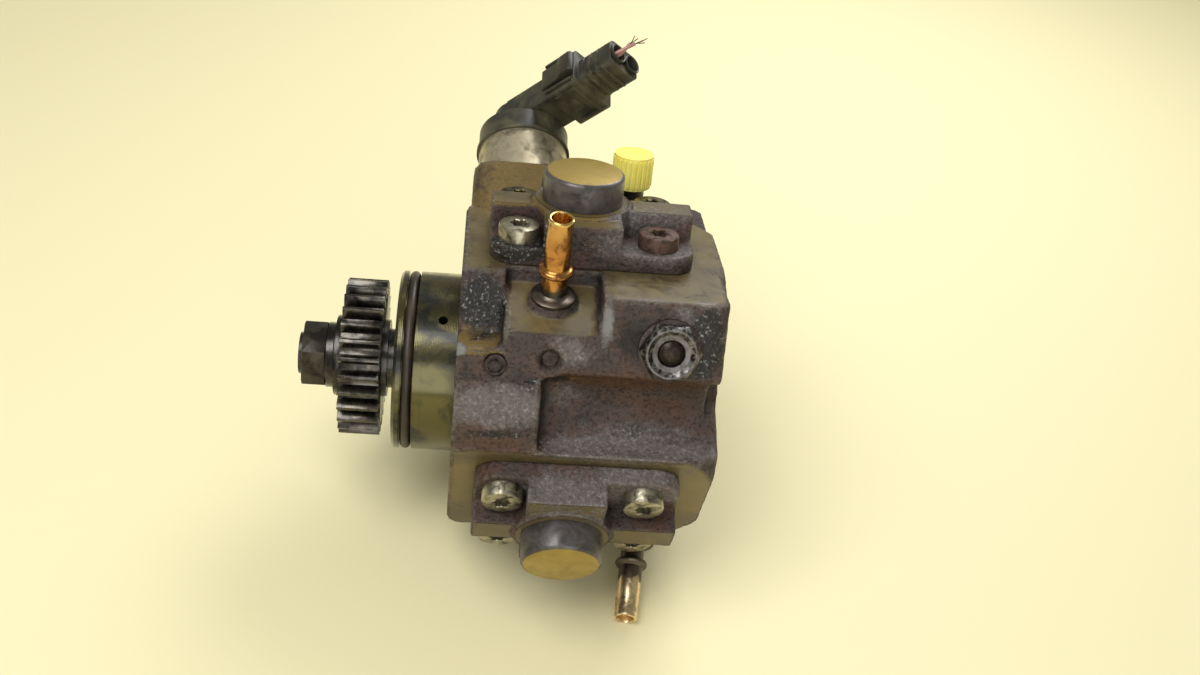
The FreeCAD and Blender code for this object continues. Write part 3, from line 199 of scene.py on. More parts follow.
def cast_iron(name, ground, warm, machined_and_reflection):
    # Sand-cast iron, grained like coarse paper and soaked in fuel oil: brown-black, foxy where it
    # rusted, grey where dust dried on it, wet black with painted pale glints, and bare at chipped
    # edges. Painted shade darkens its hollows and the places where shadow falls. An olive tint on its
    # tops, undersides and milled faces is oil film with a painted reflection of the yellow surroundings
    material, tree, place = new_material(name)
    fine, sand, patches, cloud = (
        add(tree, "ShaderNodeTexNoise", {"Vector": place, "Scale": blobs(size), "Detail": detail,
                                         "Roughness": rough, "Distortion": warp})
        for size, detail, rough, warp in ((0.75, 3.0, 0.7, 0.0), (2.0, 4.0, 0.65, 0.0),
                                          (12.0, 5.0, 0.62, 0.5), (5.0, 5.0, 0.68, 0.7)))
    milled, hollow_shade, edge = (add(tree, "ShaderNodeAttribute", attribute_name=laid).outputs["Fac"]
                            for laid in ("milled", "hollow_shade", "edge"))
    bloom = frayed(tree, "bloom", cloud, 0.34, 0.74)
    rust = frayed(tree, "rust", cloud, 0.36, 0.72)
    olive_reflection = frayed(tree, "olive_reflection", cloud, 0.42, 0.62)
    oil = frayed(tree, "oil", cloud, 0.42, 0.62)
    painted_shade = frayed(tree, "painted_shade", cloud, 0.42, 0.62)
    bare = frayed(tree, "bare", sand, 0.44, 0.72)

    # Pits show where nothing was milled and little lies over them
    pit_cover = add(tree, "ShaderNodeMath", {0: olive_reflection, 1: bloom}, operation="MAXIMUM")
    pit_cover = add(tree, "ShaderNodeMath", {0: pit_cover, 1: 0.7}, operation="MULTIPLY")
    pit_cover = add(tree, "ShaderNodeMath", {0: milled, 1: pit_cover}, operation="MAXIMUM")
    clear = add(tree, "ShaderNodeMath", {0: 1.0, 1: pit_cover}, operation="SUBTRACT")

    # Dust lies in the bloom and on worn edges. Painted glints, pale specks that stand in for highlights, lie
    # in the oil and a few in the bloom
    worn = add(tree, "ShaderNodeMapRange", {"Value": cloud, "From Min": 0.40, "From Max": 0.58,
                                            "To Max": 0.5})
    worn = add(tree, "ShaderNodeMath", {0: edge, 1: worn}, operation="MULTIPLY")
    dusty = add(tree, "ShaderNodeMath", {0: bloom, 1: worn}, operation="MAXIMUM")
    bloom_glints = add(tree, "ShaderNodeMath", {0: bloom, 1: 0.3}, operation="MULTIPLY")
    painted_glints = add(tree, "ShaderNodeMath", {0: oil, 1: bloom_glints}, operation="MAXIMUM")

    colour = layered(tree, ground, (
        (None, patches, 0.42, 0.62, 0.0, 1.0, warm),
        (None, cloud, 0.50, 0.66, 0.0, 0.8, "1E1917"),
        (bloom, sand, 0.35, 0.62, 0.55, 0.85, "6C6665"),
        (rust, sand, 0.0, 1.0, 0.75, 0.75, "4E3424"),
        (rust, sand, 0.52, 0.76, 0.0, 0.7, "67452F"),
        # olive tint: oil film with a painted reflection of the yellow surroundings
        (olive_reflection, sand, 0.0, 1.0, 0.85, 0.85, "77622F"),
        # painted shade with some dirt in hollows
        (hollow_shade, sand, 0.0, 1.0, 0.75, 0.75, "130F0D"),
        (oil, sand, 0.0, 1.0, 0.9, 0.9, "161514"),
        # painted shade where shadow falls
        (painted_shade, sand, 0.0, 1.0, 0.8, 0.8, "1A1512"),
        # milled faces: machined metal tinted olive, partly a painted reflection of the yellow surroundings
        (milled, cloud, 0.36, 0.62, 0.95, 0.4, machined_and_reflection),
        (milled, patches, 0.50, 0.62, 0.0, 0.5, "4A4130"),
        (edge, cloud, 0.40, 0.58, 0.0, 0.6, "6B6258"),
        (clear, fine, 0.50, 0.36, 0.0, 0.7, "0F0C0B"),
        (dusty, fine, 0.50, 0.70, 0.0, 0.34, "A09A96"),
        # painted highlights: pale glint specks in the oil and the bloom
        (painted_glints, fine, 0.57, 0.70, 0.0, 0.6, "B4B3B0"),
        (bare, sand, 0.0, 1.0, 0.9, 0.9, "7C7B7A")))

    sleek = add(tree, "ShaderNodeMath", {0: oil, 1: milled}, operation="MAXIMUM")
    roughness = add(tree, "ShaderNodeMapRange", {"Value": cloud, "From Min": 0.35, "From Max": 0.65,
                                                 "To Min": 0.72, "To Max": 0.52})
    roughness = add(tree, "ShaderNodeMath", {0: sleek, 1: -0.26, 2: roughness}, operation="MULTIPLY_ADD")
    flat = add(tree, "ShaderNodeMath", {0: milled, 1: bare}, operation="MAXIMUM")
    grainy = add(tree, "ShaderNodeMath", {0: 1.0, 1: flat}, operation="SUBTRACT")
    pitted = add(tree, "ShaderNodeMath", {0: fine, 1: grainy}, operation="MULTIPLY")
    sandy = add(tree, "ShaderNodeMath", {0: sand, 1: grainy}, operation="MULTIPLY")
    normal = add(tree, "ShaderNodeBump", {"Height": pitted, "Distance": 0.55 * MM, "Strength": 1.0})
    normal = add(tree, "ShaderNodeBump", {"Height": sandy, "Distance": 0.6 * MM, "Strength": 0.9,
                                          "Normal": normal})
    shader = add(tree, "ShaderNodeBsdfPrincipled", {
        "Base Color": colour, "Roughness": roughness, "Normal": normal, "Metallic": 0.1,
        "Specular IOR Level": 0.36, "Coat Weight": 0.08, "Coat Roughness": 0.2})
    add(tree, "ShaderNodeOutputMaterial", {"Surface": shader})
    return material


# Width of one band of the wave texture at scale 1
WAVE_BAND = 0.314


def metal(name, bright, dark, sleek, dull, metallic=1.0, turning_mm=None, stain_mm=5.0, grain_mm=0.5,
          grain_depth=0.05, coat=0.0, stain=(0.45, 0.62), face=None, crust=None):
    # Machined or plated steel and brass: even metal under blotches of oil or tarnish. turning_mm
    # spaces the turning marks round the shaft, face tints the oil film on a painted end face, and
    # crust is the colour of a painted end that never was wiped. On the caps the face tint is also a
    # painted reflection of the yellow surroundings
    material, tree, place = new_material(name)
    blotch = add(tree, "ShaderNodeTexNoise", {"Vector": place, "Scale": blobs(stain_mm), "Detail": 5.0,
                                              "Roughness": 0.6, "Distortion": 0.5})
    fine = add(tree, "ShaderNodeTexNoise", {"Vector": place, "Scale": blobs(grain_mm), "Detail": 3.0,
                                            "Roughness": 0.6})
    layers = [(None, blotch, *stain, 0.0, 1.0, dark)]
    if face:
        end_face = add(tree, "ShaderNodeAttribute", attribute_name="milled").outputs["Fac"]
        layers.append((end_face, blotch, 0.3, 0.7, 1.0, 0.7, face))
    roughness = add(tree, "ShaderNodeMapRange", {"Value": blotch, "From Min": 0.35, "From Max": 0.65,
                                                 "To Min": sleek, "To Max": dull})
    if crust:
        dirty = frayed(tree, "crust", blotch, 0.40, 0.60)
        layers.append((dirty, blotch, 0.0, 1.0, 1.0, 1.0, crust))
        roughness = add(tree, "ShaderNodeMath", {0: dirty, 1: 0.12, 2: roughness}, operation="MULTIPLY_ADD")
    normal = add(tree, "ShaderNodeBump", {"Height": fine, "Distance": grain_depth * MM, "Strength": 1.0})
    if turning_mm:
        rings = add(tree, "ShaderNodeTexWave", {"Vector": place, "Scale": WAVE_BAND / (turning_mm * MM),
                                                "Distortion": 0.6, "Detail": 2.0, "Detail Scale": 3.0},
                    wave_type="BANDS", bands_direction="X")
        normal = add(tree, "ShaderNodeBump", {"Height": rings.outputs["Fac"], "Distance": 0.02 * MM,
                                              "Strength": 0.6, "Normal": normal})
    shader = add(tree, "ShaderNodeBsdfPrincipled", {
        "Base Color": layered(tree, bright, layers), "Roughness": roughness, "Normal": normal,
        "Metallic": metallic, "Coat Weight": coat, "Coat Roughness": 0.15})
    add(tree, "ShaderNodeOutputMaterial", {"Surface": shader})
    return material


def plastic(name, base, dusty, rough, grain_mm=0.4, grain_depth=0.03, glow=0.0):
    # Moulded thermoplastic: one colour all through, a fine spark texture, dull dust in patches
    material, tree, place = new_material(name)
    dust = add(tree, "ShaderNodeTexNoise", {"Vector": place, "Scale": blobs(7.0), "Detail": 4.0,
                                            "Roughness": 0.6, "Distortion": 0.3})
    spark = add(tree, "ShaderNodeTexNoise", {"Vector": place, "Scale": blobs(grain_mm), "Detail": 2.0,
                                             "Roughness": 0.55})
    colour = layered(tree, base, [(None, dust, 0.45, 0.68, 0.0, 1.0, dusty)])
    roughness = add(tree, "ShaderNodeMapRange", {"Value": dust, "From Min": 0.35, "From Max": 0.65,
                                                 "To Min": rough, "To Max": rough + 0.18})
    normal = add(tree, "ShaderNodeBump", {"Height": spark, "Distance": grain_depth * MM, "Strength": 1.0})
    shader = add(tree, "ShaderNodeBsdfPrincipled", {
        "Base Color": colour, "Roughness": roughness, "Normal": normal, "Subsurface Weight": glow,
        "Subsurface Scale": 0.002})
    add(tree, "ShaderNodeOutputMaterial", {"Surface": shader})
    return material


finishes = {
    # The third colour, on milled faces, is olive partly as a painted reflection of the yellow surroundings
    "cast_housing": cast_iron("cast_iron_housing", "443A37", "533F36", "6E613C"),
    "cast_head": cast_iron("cast_iron_head", "453D3A", "563D33", "675A37"),
    # its face tint is oil film with a painted reflection of the yellow surroundings on the caps' tops
    "black_cap": metal("blackened_steel_cap", "676262", "403C3A", 0.36, 0.55, metallic=0.5, stain_mm=4.0,
                       grain_mm=0.7, coat=0.1, stain=(0.42, 0.66), face="A38A36"),
    "oiled_pilot": metal("oiled_turned_pilot", "5A5430", "1F201D", 0.16, 0.36, metallic=0.85,
                         turning_mm=0.5, stain_mm=9.0, grain_depth=0.02, coat=0.5),
    "oiled_steel": metal("oiled_dark_steel", "45423E", "201E1C", 0.2, 0.45, metallic=0.95,
                         turning_mm=0.4, grain_depth=0.02, coat=0.4),
    "gear_steel": metal("oiled_gear_steel", "57524A", "1E1B18", 0.22, 0.46, metallic=0.95, stain_mm=3.0,
                        grain_depth=0.03, coat=0.5),
    "nut_steel": metal("dark_plated_nut", "46423B", "221E1A", 0.26, 0.5, metallic=0.9, grain_depth=0.04,
                       coat=0.2),
    "ground_steel": metal("ground_steel", "A5A5A3", "6E6C69", 0.15, 0.35),
    "spring_steel": metal("spring_wire", "6F6D6A", "3B3937", 0.25, 0.5),
    "bearing_bronze": metal("bearing_bronze", "A8824C", "6B5230", 0.25, 0.5),
    "can_steel": metal("stained_zinc_can", "C9BEA3", "7A715F", 0.32, 0.62, metallic=0.8, stain_mm=3.5,
                       grain_mm=0.8, stain=(0.42, 0.66)),
    "zinc_screw": metal("zinc_plated_screw", "A9A38D", "453F36", 0.28, 0.55, metallic=0.9, stain_mm=2.0,
                        grain_mm=0.4, coat=0.1, stain=(0.44, 0.66)),
    "rusty_screw": metal("rusty_screw", "5C4539", "33261F", 0.5, 0.75, metallic=0.4, stain_mm=1.3,
                         grain_depth=0.12),
    "worn_zinc_plug": metal("worn_zinc_plug", "85817E", "221E1D", 0.28, 0.5, metallic=0.8, stain_mm=1.2,
                            grain_depth=0.08, coat=0.2, stain=(0.40, 0.56), face="625C5A",
                            crust="443934"),
    "zinc_union": metal("zinc_union", "6E6A60", "2F2B27", 0.3, 0.55, metallic=0.95),
    "copper_brass": metal("copper_plated_tube", "C08A4E", "75482A", 0.14, 0.32, stain_mm=3.0,
                          grain_depth=0.03, stain=(0.46, 0.66), face="D8B878", crust="655C54"),
    "tarnished_brass": metal("worn_brass_tube", "F5DDB0", "937C63", 0.2, 0.4, stain_mm=2.4,
                             grain_depth=0.03, stain=(0.50, 0.70), crust="6A6157"),
    "oiled_screw": metal("oil_soaked_screw", "6F6542", "2A261C", 0.3, 0.5, metallic=0.8, stain_mm=2.2,
                         grain_depth=0.04),
    "braided_copper": metal("copper_strand", "7A5540", "4A3328", 0.35, 0.5),
    "brown_steel": metal("browned_steel", "3C322D", "231D1A", 0.35, 0.55, metallic=0.7, stain_mm=1.6,
                         grain_depth=0.04),
    "black_screw": metal("blackened_screw", "35322F", "1D1B1A", 0.35, 0.55, metallic=0.8),
    "winding": metal("varnished_winding", "7A4424", "4C2A18", 0.3, 0.5, metallic=0.6),
    "seal_rubber": plastic("seal_rubber", "221A14", "3A2E22", 0.32),
    "black_plastic": plastic("glass_filled_nylon", "302F27", "5A553F", 0.34),
    "yellow_plastic": plastic("yellow_polyethylene", "FFF27F", "FAE768", 0.42, grain_mm=0.8,
                              grain_depth=0.02, glow=0.15),
    "pink_wire": plastic("pink_wire_jacket", "C99A92", "9A716B", 0.5),
}


# Mesh helpers

def shown(name, mesh, body, replaced=(), finish=None):
    # Makes a mesh a piece, in its finish, on its body and in place of the nodes it replaces
    obj = bpy.data.objects.new(name, mesh)
    bpy.context.scene.collection.objects.link(obj)
    if finish:
        mesh.materials.append(finishes[finish])
    if body:
        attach(obj, body)
    if replaced:
        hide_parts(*replaced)
    return obj


def merged_copy(node):
    # The node's surface as a closed mesh of its own, with its loose triangles joined
    mesh = bpy.data.meshes.new(node + "_skin")
    source = nodes[node].data
    mesh.from_pydata([v.co for v in source.vertices], [], [list(p.vertices) for p in source.polygons])
    work = bmesh.new()
    work.from_mesh(mesh)
    bmesh.ops.remove_doubles(work, verts=work.verts, dist=0.002 * MM)
    bmesh.ops.dissolve_limit(work, angle_limit=math.radians(0.5), verts=work.verts, edges=work.edges)
    work.to_mesh(mesh)
    work.free()
    return mesh


def settled(obj):
    # Turns what the modifiers make into the object's own mesh
    bpy.context.view_layer.update()
    mesh = bpy.data.meshes.new_from_object(obj.evaluated_get(bpy.context.evaluated_depsgraph_get()))
    obj.modifiers.clear()
    old = obj.data
    obj.data = mesh
    bpy.data.meshes.remove(old)
    return mesh


def smooth(mesh, angle=35.0):
    # Shades the mesh smooth apart from the edges that are sharper than the angle
    mesh.shade_smooth()
    mesh.set_sharp_from_angle(angle=math.radians(angle))


def break_edges(obj, width_mm, angle):
    # Bevels the edges that are sharper than the angle
    bevel = obj.modifiers.new("edges", "BEVEL")
    bevel.width = width_mm * MM
    bevel.segments = 2
    bevel.limit_method = "ANGLE"
    bevel.angle_limit = math.radians(angle)
    settled(obj)


def soften(node, width_mm, finish, body, faces=(), crust=None):
    # A copy of a turned or moulded piece with its edges broken, so that they catch the light
    obj = shown(node + "_worn", merged_copy(node), None)
    break_edges(obj, width_mm, 32.0)
    smooth(obj.data, 40.0)
    if faces:
        lay(obj.data, "milled", near_planes(obj.data, faces))
    if crust:
        # Crusted from where it leaves the casting up to a height, given with its foot and its way
        foot, way, low, high = crust
        height = (points_of(obj.data) - np.array(foot)) @ np.array(way)
        lay(obj.data, "crust", np.clip((high - height) / (high - low), 0, 1))
    obj.data.materials.append(finishes[finish])
    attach(obj, body)
    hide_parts(node)


def lay(mesh, name, values):
    # Paints one value per point on the mesh, under a name that the finishes read
    mesh.attributes.new(name, "FLOAT", "POINT").data.foreach_set("value", values.astype(np.float32))


def points_of(mesh):
    # The mesh's points in millimetres, a row each
    flat = np.empty(len(mesh.vertices) * 3)
    mesh.vertices.foreach_get("co", flat)
    return flat.reshape(-1, 3) / MM


def near_planes(mesh, planes):
    # 1 on the points that lie in a machined plane and look its way
    spots = points_of(mesh)
    normals = np.array([tuple(n.vector) for n in mesh.vertex_normals])
    found = np.zeros(len(spots))
    for direction, distance, band in planes:
        way = np.array(direction)
        found[(normals @ way > 0.95) & (np.abs(spots @ way - distance) < band)] = 1.0
    return found


def spread(mesh, values, rounds):
    # Averages a value with its neighbours' along the edges
    pairs = np.empty(len(mesh.edges) * 2, dtype=np.int64)
    mesh.edges.foreach_get("vertices", pairs)
    pairs = pairs.reshape(-1, 2)
    count = len(mesh.vertices)
    links = np.bincount(pairs.ravel(), minlength=count)
    for _ in range(rounds):
        total = (np.bincount(pairs[:, 0], values[pairs[:, 1]], count)
                 + np.bincount(pairs[:, 1], values[pairs[:, 0]], count))
        values = (values + total / np.maximum(links, 1)) / 2
    return values


def bend(mesh):
    # How sharply the surface turns: above 0 on outer edges, below 0 in hollows
    spots = points_of(mesh)
    near = np.stack([spread(mesh, spots[:, k], 6) for k in range(3)], axis=1)
    normals = np.array([tuple(n.vector) for n in mesh.vertex_normals])
    return spread(mesh, ((spots - near) * normals).sum(axis=1), 2)


def ring_faces(work, loops, closed):
    # Skins neighbouring rings of points with quads; closed joins the last ring to the first
    around = len(loops[0])
    for low, high in zip(loops, loops[1:] + loops[:1] if closed else loops[1:]):
        for k in range(around):
            n = (k + 1) % around
            work.faces.new((low[k], low[n], high[n], high[k]))


def spigot_tube(node, foot, way, length, bead, finish, crust):
    # Hose spigot turned round its way out: foot, shoulder, bead, a lip at the tip, and the bore.
    # crust is the height up to which it is crusted and the height at which it is clean
    profile = [(-TUBE_FOOT, TUBE_R - 0.1), (0.0, TUBE_R - 0.1), (0.0, SHOULDER_R - 0.1), (0.25, SHOULDER_R),
               (1.0, SHOULDER_R), (1.2, SHOULDER_R - 0.2), (1.5, 5.4), (1.9, 4.4), (2.3, TUBE_R),
               (bead - 1.5, TUBE_R - 0.02)]
    for degrees in range(-80, 81, 20):
        a = math.radians(degrees)
        profile.append((bead + 1.2 * math.sin(a), TUBE_R + 0.1 + 1.4 * math.cos(a)))
    profile += [(bead + 1.5, TUBE_R), (length - 8.6, TUBE_R), (length - 8.4, TUBE_R - 0.08),
                (length - 1.2, TUBE_R - 0.08), (length - 0.7, TUBE_R), (length - 0.25, TUBE_R - 0.1),
                (length, TUBE_R - 0.5), (length - 0.1, TUBE_BORE_R + 0.18), (length - 0.6, TUBE_BORE_R),
                (-TUBE_FOOT, TUBE_BORE_R)]
    flat = Vector((1, 0, 0)) - way * way.x
    flat.normalize()
    third = way.cross(flat)
    around = 56
    spokes = [flat * math.cos(2 * math.pi * k / around) + third * math.sin(2 * math.pi * k / around)
              for k in range(around)]
    work = bmesh.new()
    ring_faces(work, [[work.verts.new((foot + way * height + spoke * radius) * MM) for spoke in spokes]
                      for height, radius in profile], True)
    bmesh.ops.recalc_face_normals(work, faces=work.faces)
    mesh = bpy.data.meshes.new(node + "_tube")
    work.to_mesh(mesh)
    work.free()
    smooth(mesh, 38.0)
    low, high = crust
    height = (points_of(mesh) - np.array(foot)) @ np.array(way)
    lay(mesh, "crust", np.clip((high - height) / (high - low), 0, 1))
    lay(mesh, "milled", np.clip(height - (length - 1.6), 0, 1))
    shown(node + "_tube", mesh, "pump_body", [node], finish)


# How often the sand's lumps come on a casting
LUMPS_PER_MM = 0.35


def cast_skin(node, voxel_mm, rough_mm, finish, milled_planes, stains):
    # Rounds a casting's edges, roughens it apart from the planes that were milled, and lays its
    # stains, painted shade and a painted reflection on as painted values
    obj = shown(node + "_cast", merged_copy(node), None)
    remesh = obj.modifiers.new("grain", "REMESH")
    remesh.mode = "VOXEL"
    remesh.voxel_size = voxel_mm * MM
    relax = obj.modifiers.new("relax", "SMOOTH")
    relax.factor = 0.5
    relax.iterations = 3
    mesh = settled(obj)
    milled = near_planes(mesh, milled_planes)
    turn = bend(mesh)
    lay(mesh, "milled", np.clip(spread(mesh, milled, 3) * 1.6 - 0.4, 0, 1))
    # Edges wear, and hollows darken with painted shade and some dirt, as soon as the surface turns a little
    lay(mesh, "edge", np.clip(turn * 5.5 - 0.25, 0, 1))
    lay(mesh, "hollow_shade", np.clip(-turn * 5.0 - 0.25, 0, 1))
    spots = points_of(mesh)
    # Among these kinds are painted shade and a painted reflection of the yellow surroundings
    for kind in ("rust", "oil", "bloom", "olive_reflection", "painted_shade", "bare"):
        amount = np.zeros(len(spots))
        # A stain is full up to half its reach and gone at nearly twice its reach
        for what, centre, reach, strength in stains:
            if what == kind:
                away = (spots - np.array(head_up(*centre))) / np.array(reach_up(*reach))
                away = np.sqrt((away ** 2).sum(axis=1))
                amount = np.maximum(amount, strength * np.clip(1.35 - away * 0.7, 0, 1))
        lay(mesh, kind, amount)
    lumps = np.array([noise.fractal(Vector(spot * LUMPS_PER_MM), 0.9, 2.0, 4) for spot in spots])
    lumps[milled > 0.5] = 0.0
    normals = np.array([tuple(n.vector) for n in mesh.vertex_normals])
    moved = (spots + normals * (lumps * rough_mm)[:, None]) * MM
    mesh.vertices.foreach_set("co", moved.ravel())
    mesh.update()
    mesh.shade_smooth()
    obj.data.materials.append(finishes[finish])
    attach(obj, "pump_body")
    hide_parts(node)


def pressed_springs():
    # The valves' springs, each copied as a mesh of its own at its rest length; their lifts are listed with
    # them but not applied
    springs = [("inlet_valve_spring_%d" % i, "suction_valve_%d_lift" % i, outward(angle), SUCTION_LIFT)
               for i, angle in HEAD_ANGLES.items()]
    springs += [("outlet_ball_spring_%d" % i, "delivery_valve_%d_lift" % i, outward(angle), DELIVERY_LIFT)
                for i, angle in HEAD_ANGLES.items()]
    springs.append(("overflow_spring", "overflow_lift", outward(VALVE_ANGLE - ROLL), OVERFLOW_LIFT))
    for node, joint, way, lift in springs:
        obj = shown(node + "_coils", merged_copy(node), "pump_body", [node], "spring_steel")
        smooth(obj.data)
        heights = points_of(obj.data) @ np.array(way)
        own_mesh(obj)


def dress_cad():
    # Every node that keeps its own mesh takes the finish of its material slot
    for entry in frame["record"]["subparts"]:
        obj = nodes[entry["node"]]
        obj.data.materials.clear()
        obj.data.materials.append(finishes[entry["material_slot"]])


# Castings

# Stains, painted shade and a painted reflection: what, where and how far in millimetres with the first head
# straight up, how strong
HOUSING_STAINS = [
    ("bloom", (13, -50, 13), (14, 5, 7), 1.0), ("rust", (14, -53, -2), (13, 5, 5), 1.0),
    ("oil", (13, -53, 4.5), (12, 4, 2.2), 0.7), ("rust", (52, -44, 21), (26, 8, 6), 0.9),
    ("rust", (66, -42, 10), (11, 6, 6), 0.7), ("oil", (56, -43, 4), (9, 6, 3), 0.5),
    ("bloom", (52, -50, -1), (26, 5, 4), 1.0), ("bloom", (34, -44, 14), (7, 5, 7), 0.6),
    ("oil", (76, -45, 36), (6, 6, 14), 0.8), ("bloom", (60, -42, 2), (20, 6, 5), 0.7),
    ("bloom", (70, -45, 40), (6, 5, 6), 0.8), ("bloom", (68, -45, 45), (5, 3, 3), 1.0),
    ("bare", (44.8, -43, 40), (2.3, 6, 8.5), 0.8), ("bare", (0.2, -45, 28.5), (2.4, 2.4, 2.2), 1.0),
    ("bare", (7, -45.4, 28.4), (5, 1.2, 0.7), 0.65), ("oil", (7, -34, 38), (8, 8, 9), 0.95),
    # olive entries are oil film with a painted reflection of the yellow surroundings on tops and undersides
    ("olive_reflection", (6, -40, 29.5), (8, 7, 1.6), 1.0), ("olive_reflection", (36, -47, 19.8), (9, 3, 1.3), 0.9),
    ("bloom", (34, -46, 31), (8, 3, 6), 0.7), ("olive_reflection", (3, -45, -20), (8, 14, 16), 0.8),
    ("olive_reflection", (78, -40, -20), (8, 12, 16), 0.8), ("olive_reflection", (20, 30, 50), (18, 16, 20), 0.8),
    ("oil", (24, -48, 20), (6, 3, 3), 0.6), ("rust", (60, 20, 44), (20, 14, 8), 0.6),
    # The dark patches here are painted shade: in the plug holes, along the strip above the second head and
    # beside the valve block
    ("painted_shade", (28.5, -45.4, 27.2), (3.4, 3, 3.4), 1.0), ("painted_shade", (11.9, -46, 24.8), (4.4, 2, 4.4), 0.5),
    ("painted_shade", (53, -46, 34), (6, 6, 10), 0.6), ("painted_shade", (27.5, -46, 12), (2.0, 6, 9), 0.8),
    ("painted_shade", (30, -44, 20), (5, 5, 4), 0.7), ("painted_shade", (40, -50.5, -4.5), (34, 4, 2), 0.9),
    ("olive_reflection", (76, 5, 45), (9, 24, 8), 0.7), ("rust", (40, 40, -20), (26, 20, 16), 0.6),
]


def head_stains(number):
    # The first head is wet and black on its near side, the second foxed at the left and bloomed.
    # The third takes the second's list, which lies too far from it to mark it
    if number == 1:
        # olive entries are oil film with a painted reflection of the yellow surroundings on the head's top
        return [("oil", (14, -22, 56), (13, 7, 9), 1.0), ("olive_reflection", (14, -8, 62), (14, 14, 3), 0.8),
                ("bloom", (60, -16, 58), (16, 14, 8), 1.0), ("rust", (52, -24, 52), (10, 5, 3), 0.5),
                ("oil", (36, -26, 56), (12, 4, 6), 0.7), ("olive_reflection", (36, -16, 63), (14, 5, 2), 0.9)]
    across = outward(210.0)
    along = outward(120.0)
    found = []
    for what, x, height, side, reach, strength in (
            ("rust", 13, 50, 20, (8, 5, 5), 0.5), ("bloom", 37, 58, 18, (15, 8, 8), 1.0),
            ("bloom", 60, 55, 18, (13, 10, 10), 1.1), ("bloom", 37, 66, 10, (13, 8, 8), 0.8),
            ("oil", 60, 56, 22, (8, 4, 6), 0.45), ("rust", 20, 56, -14, (16, 10, 8), 0.7)):
        spot = across * height + along * side
        found.append((what, (x, spot.y, spot.z), reach, strength))
    return found


def castings():
    tops = [(outward(a), PAD_R, 0.5) for a in HEAD_ANGLES.values()]
    front = [(Vector((-1, 0, 0)), 0.0, 0.5), (outward(INLET_PAD_ANGLE - ROLL), INLET_PAD_R, 0.6)]
    cast_skin("housing", voxel_mm=0.95, rough_mm=0.16, finish="cast_housing", milled_planes=tops + front,
              stains=HOUSING_STAINS)
    for i, angle in HEAD_ANGLES.items():
        planes = [(outward(angle), PAD_R + height, 0.5) for height in (HEAD_TOP_H, COLLAR_H)]
        cast_skin("cylinder_head_%d" % i, voxel_mm=0.6, rough_mm=0.10, finish="cast_head",
                  milled_planes=planes, stains=head_stains(i))


# Screws: six-lobed recess, set on their seats by one node tree

def lobed_screw():
    # Cylindrical head with a domed edge and a six-lobed recess, its seat at the origin
    work = bmesh.new()
    around = 48
    lobes = [SCREW_HEAD_R * (0.40 + 0.062 * math.cos(6 * 2 * math.pi * k / around)) for k in range(around)]
    rings = [([SCREW_HEAD_R] * around, 0.0), ([SCREW_HEAD_R] * around, SCREW_HEAD_H - 0.9),
             ([SCREW_HEAD_R - 0.25] * around, SCREW_HEAD_H - 0.3),
             ([SCREW_HEAD_R - 0.9] * around, SCREW_HEAD_H), ([r + 0.3 for r in lobes], SCREW_HEAD_H),
             (lobes, SCREW_HEAD_H - 0.3), (lobes, SCREW_HEAD_H - 2.6),
             ([r * 0.3 for r in lobes], SCREW_HEAD_H - 3.1)]
    loops = []
    for radii, height in rings:
        loops.append([work.verts.new((r * math.cos(2 * math.pi * k / around) * MM,
                                      r * math.sin(2 * math.pi * k / around) * MM, height * MM))
                      for k, r in enumerate(radii)])
    ring_faces(work, loops, False)
    work.faces.new(loops[-1])
    work.faces.new(list(reversed(loops[0])))
    mesh = bpy.data.meshes.new("lobed_screw")
    work.to_mesh(mesh)
    work.free()
    smooth(mesh, 35.0)
    return mesh


def repeat_tree(name, finish):
    # Node tree that sets one object on every point, turned by a common rotation
    tree = bpy.data.node_groups.new(name, "GeometryNodeTree")
    face = tree.interface
    face.new_socket("Points", in_out="INPUT", socket_type="NodeSocketGeometry")
    face.new_socket("Copied Piece", in_out="INPUT", socket_type="NodeSocketObject")
    face.new_socket("Turn", in_out="INPUT", socket_type="NodeSocketRotation")
    face.new_socket("Result", in_out="OUTPUT", socket_type="NodeSocketGeometry")
    given = add(tree, "NodeGroupInput")
    piece = add(tree, "GeometryNodeObjectInfo", {"Object": given.outputs["Copied Piece"]})
    placed = add(tree, "GeometryNodeInstanceOnPoints", {"Points": given.outputs["Points"],
                                                        "Instance": piece.outputs["Geometry"],
                                                        "Rotation": given.outputs["Turn"]})
    real = add(tree, "GeometryNodeRealizeInstances", {"Geometry": placed.outputs["Instances"]})
    coat = add(tree, "GeometryNodeSetMaterial", {"Geometry": real.outputs["Geometry"],
                                                 "Material": finishes[finish]})
    add(tree, "NodeGroupOutput", {"Result": coat.outputs["Geometry"]})
    return tree


def set_inputs(modifier, values):
    for item in modifier.node_group.interface.items_tree:
        if item.item_type == "SOCKET" and item.in_out == "INPUT" and item.name in values:
            modifier[item.identifier] = values[item.name]


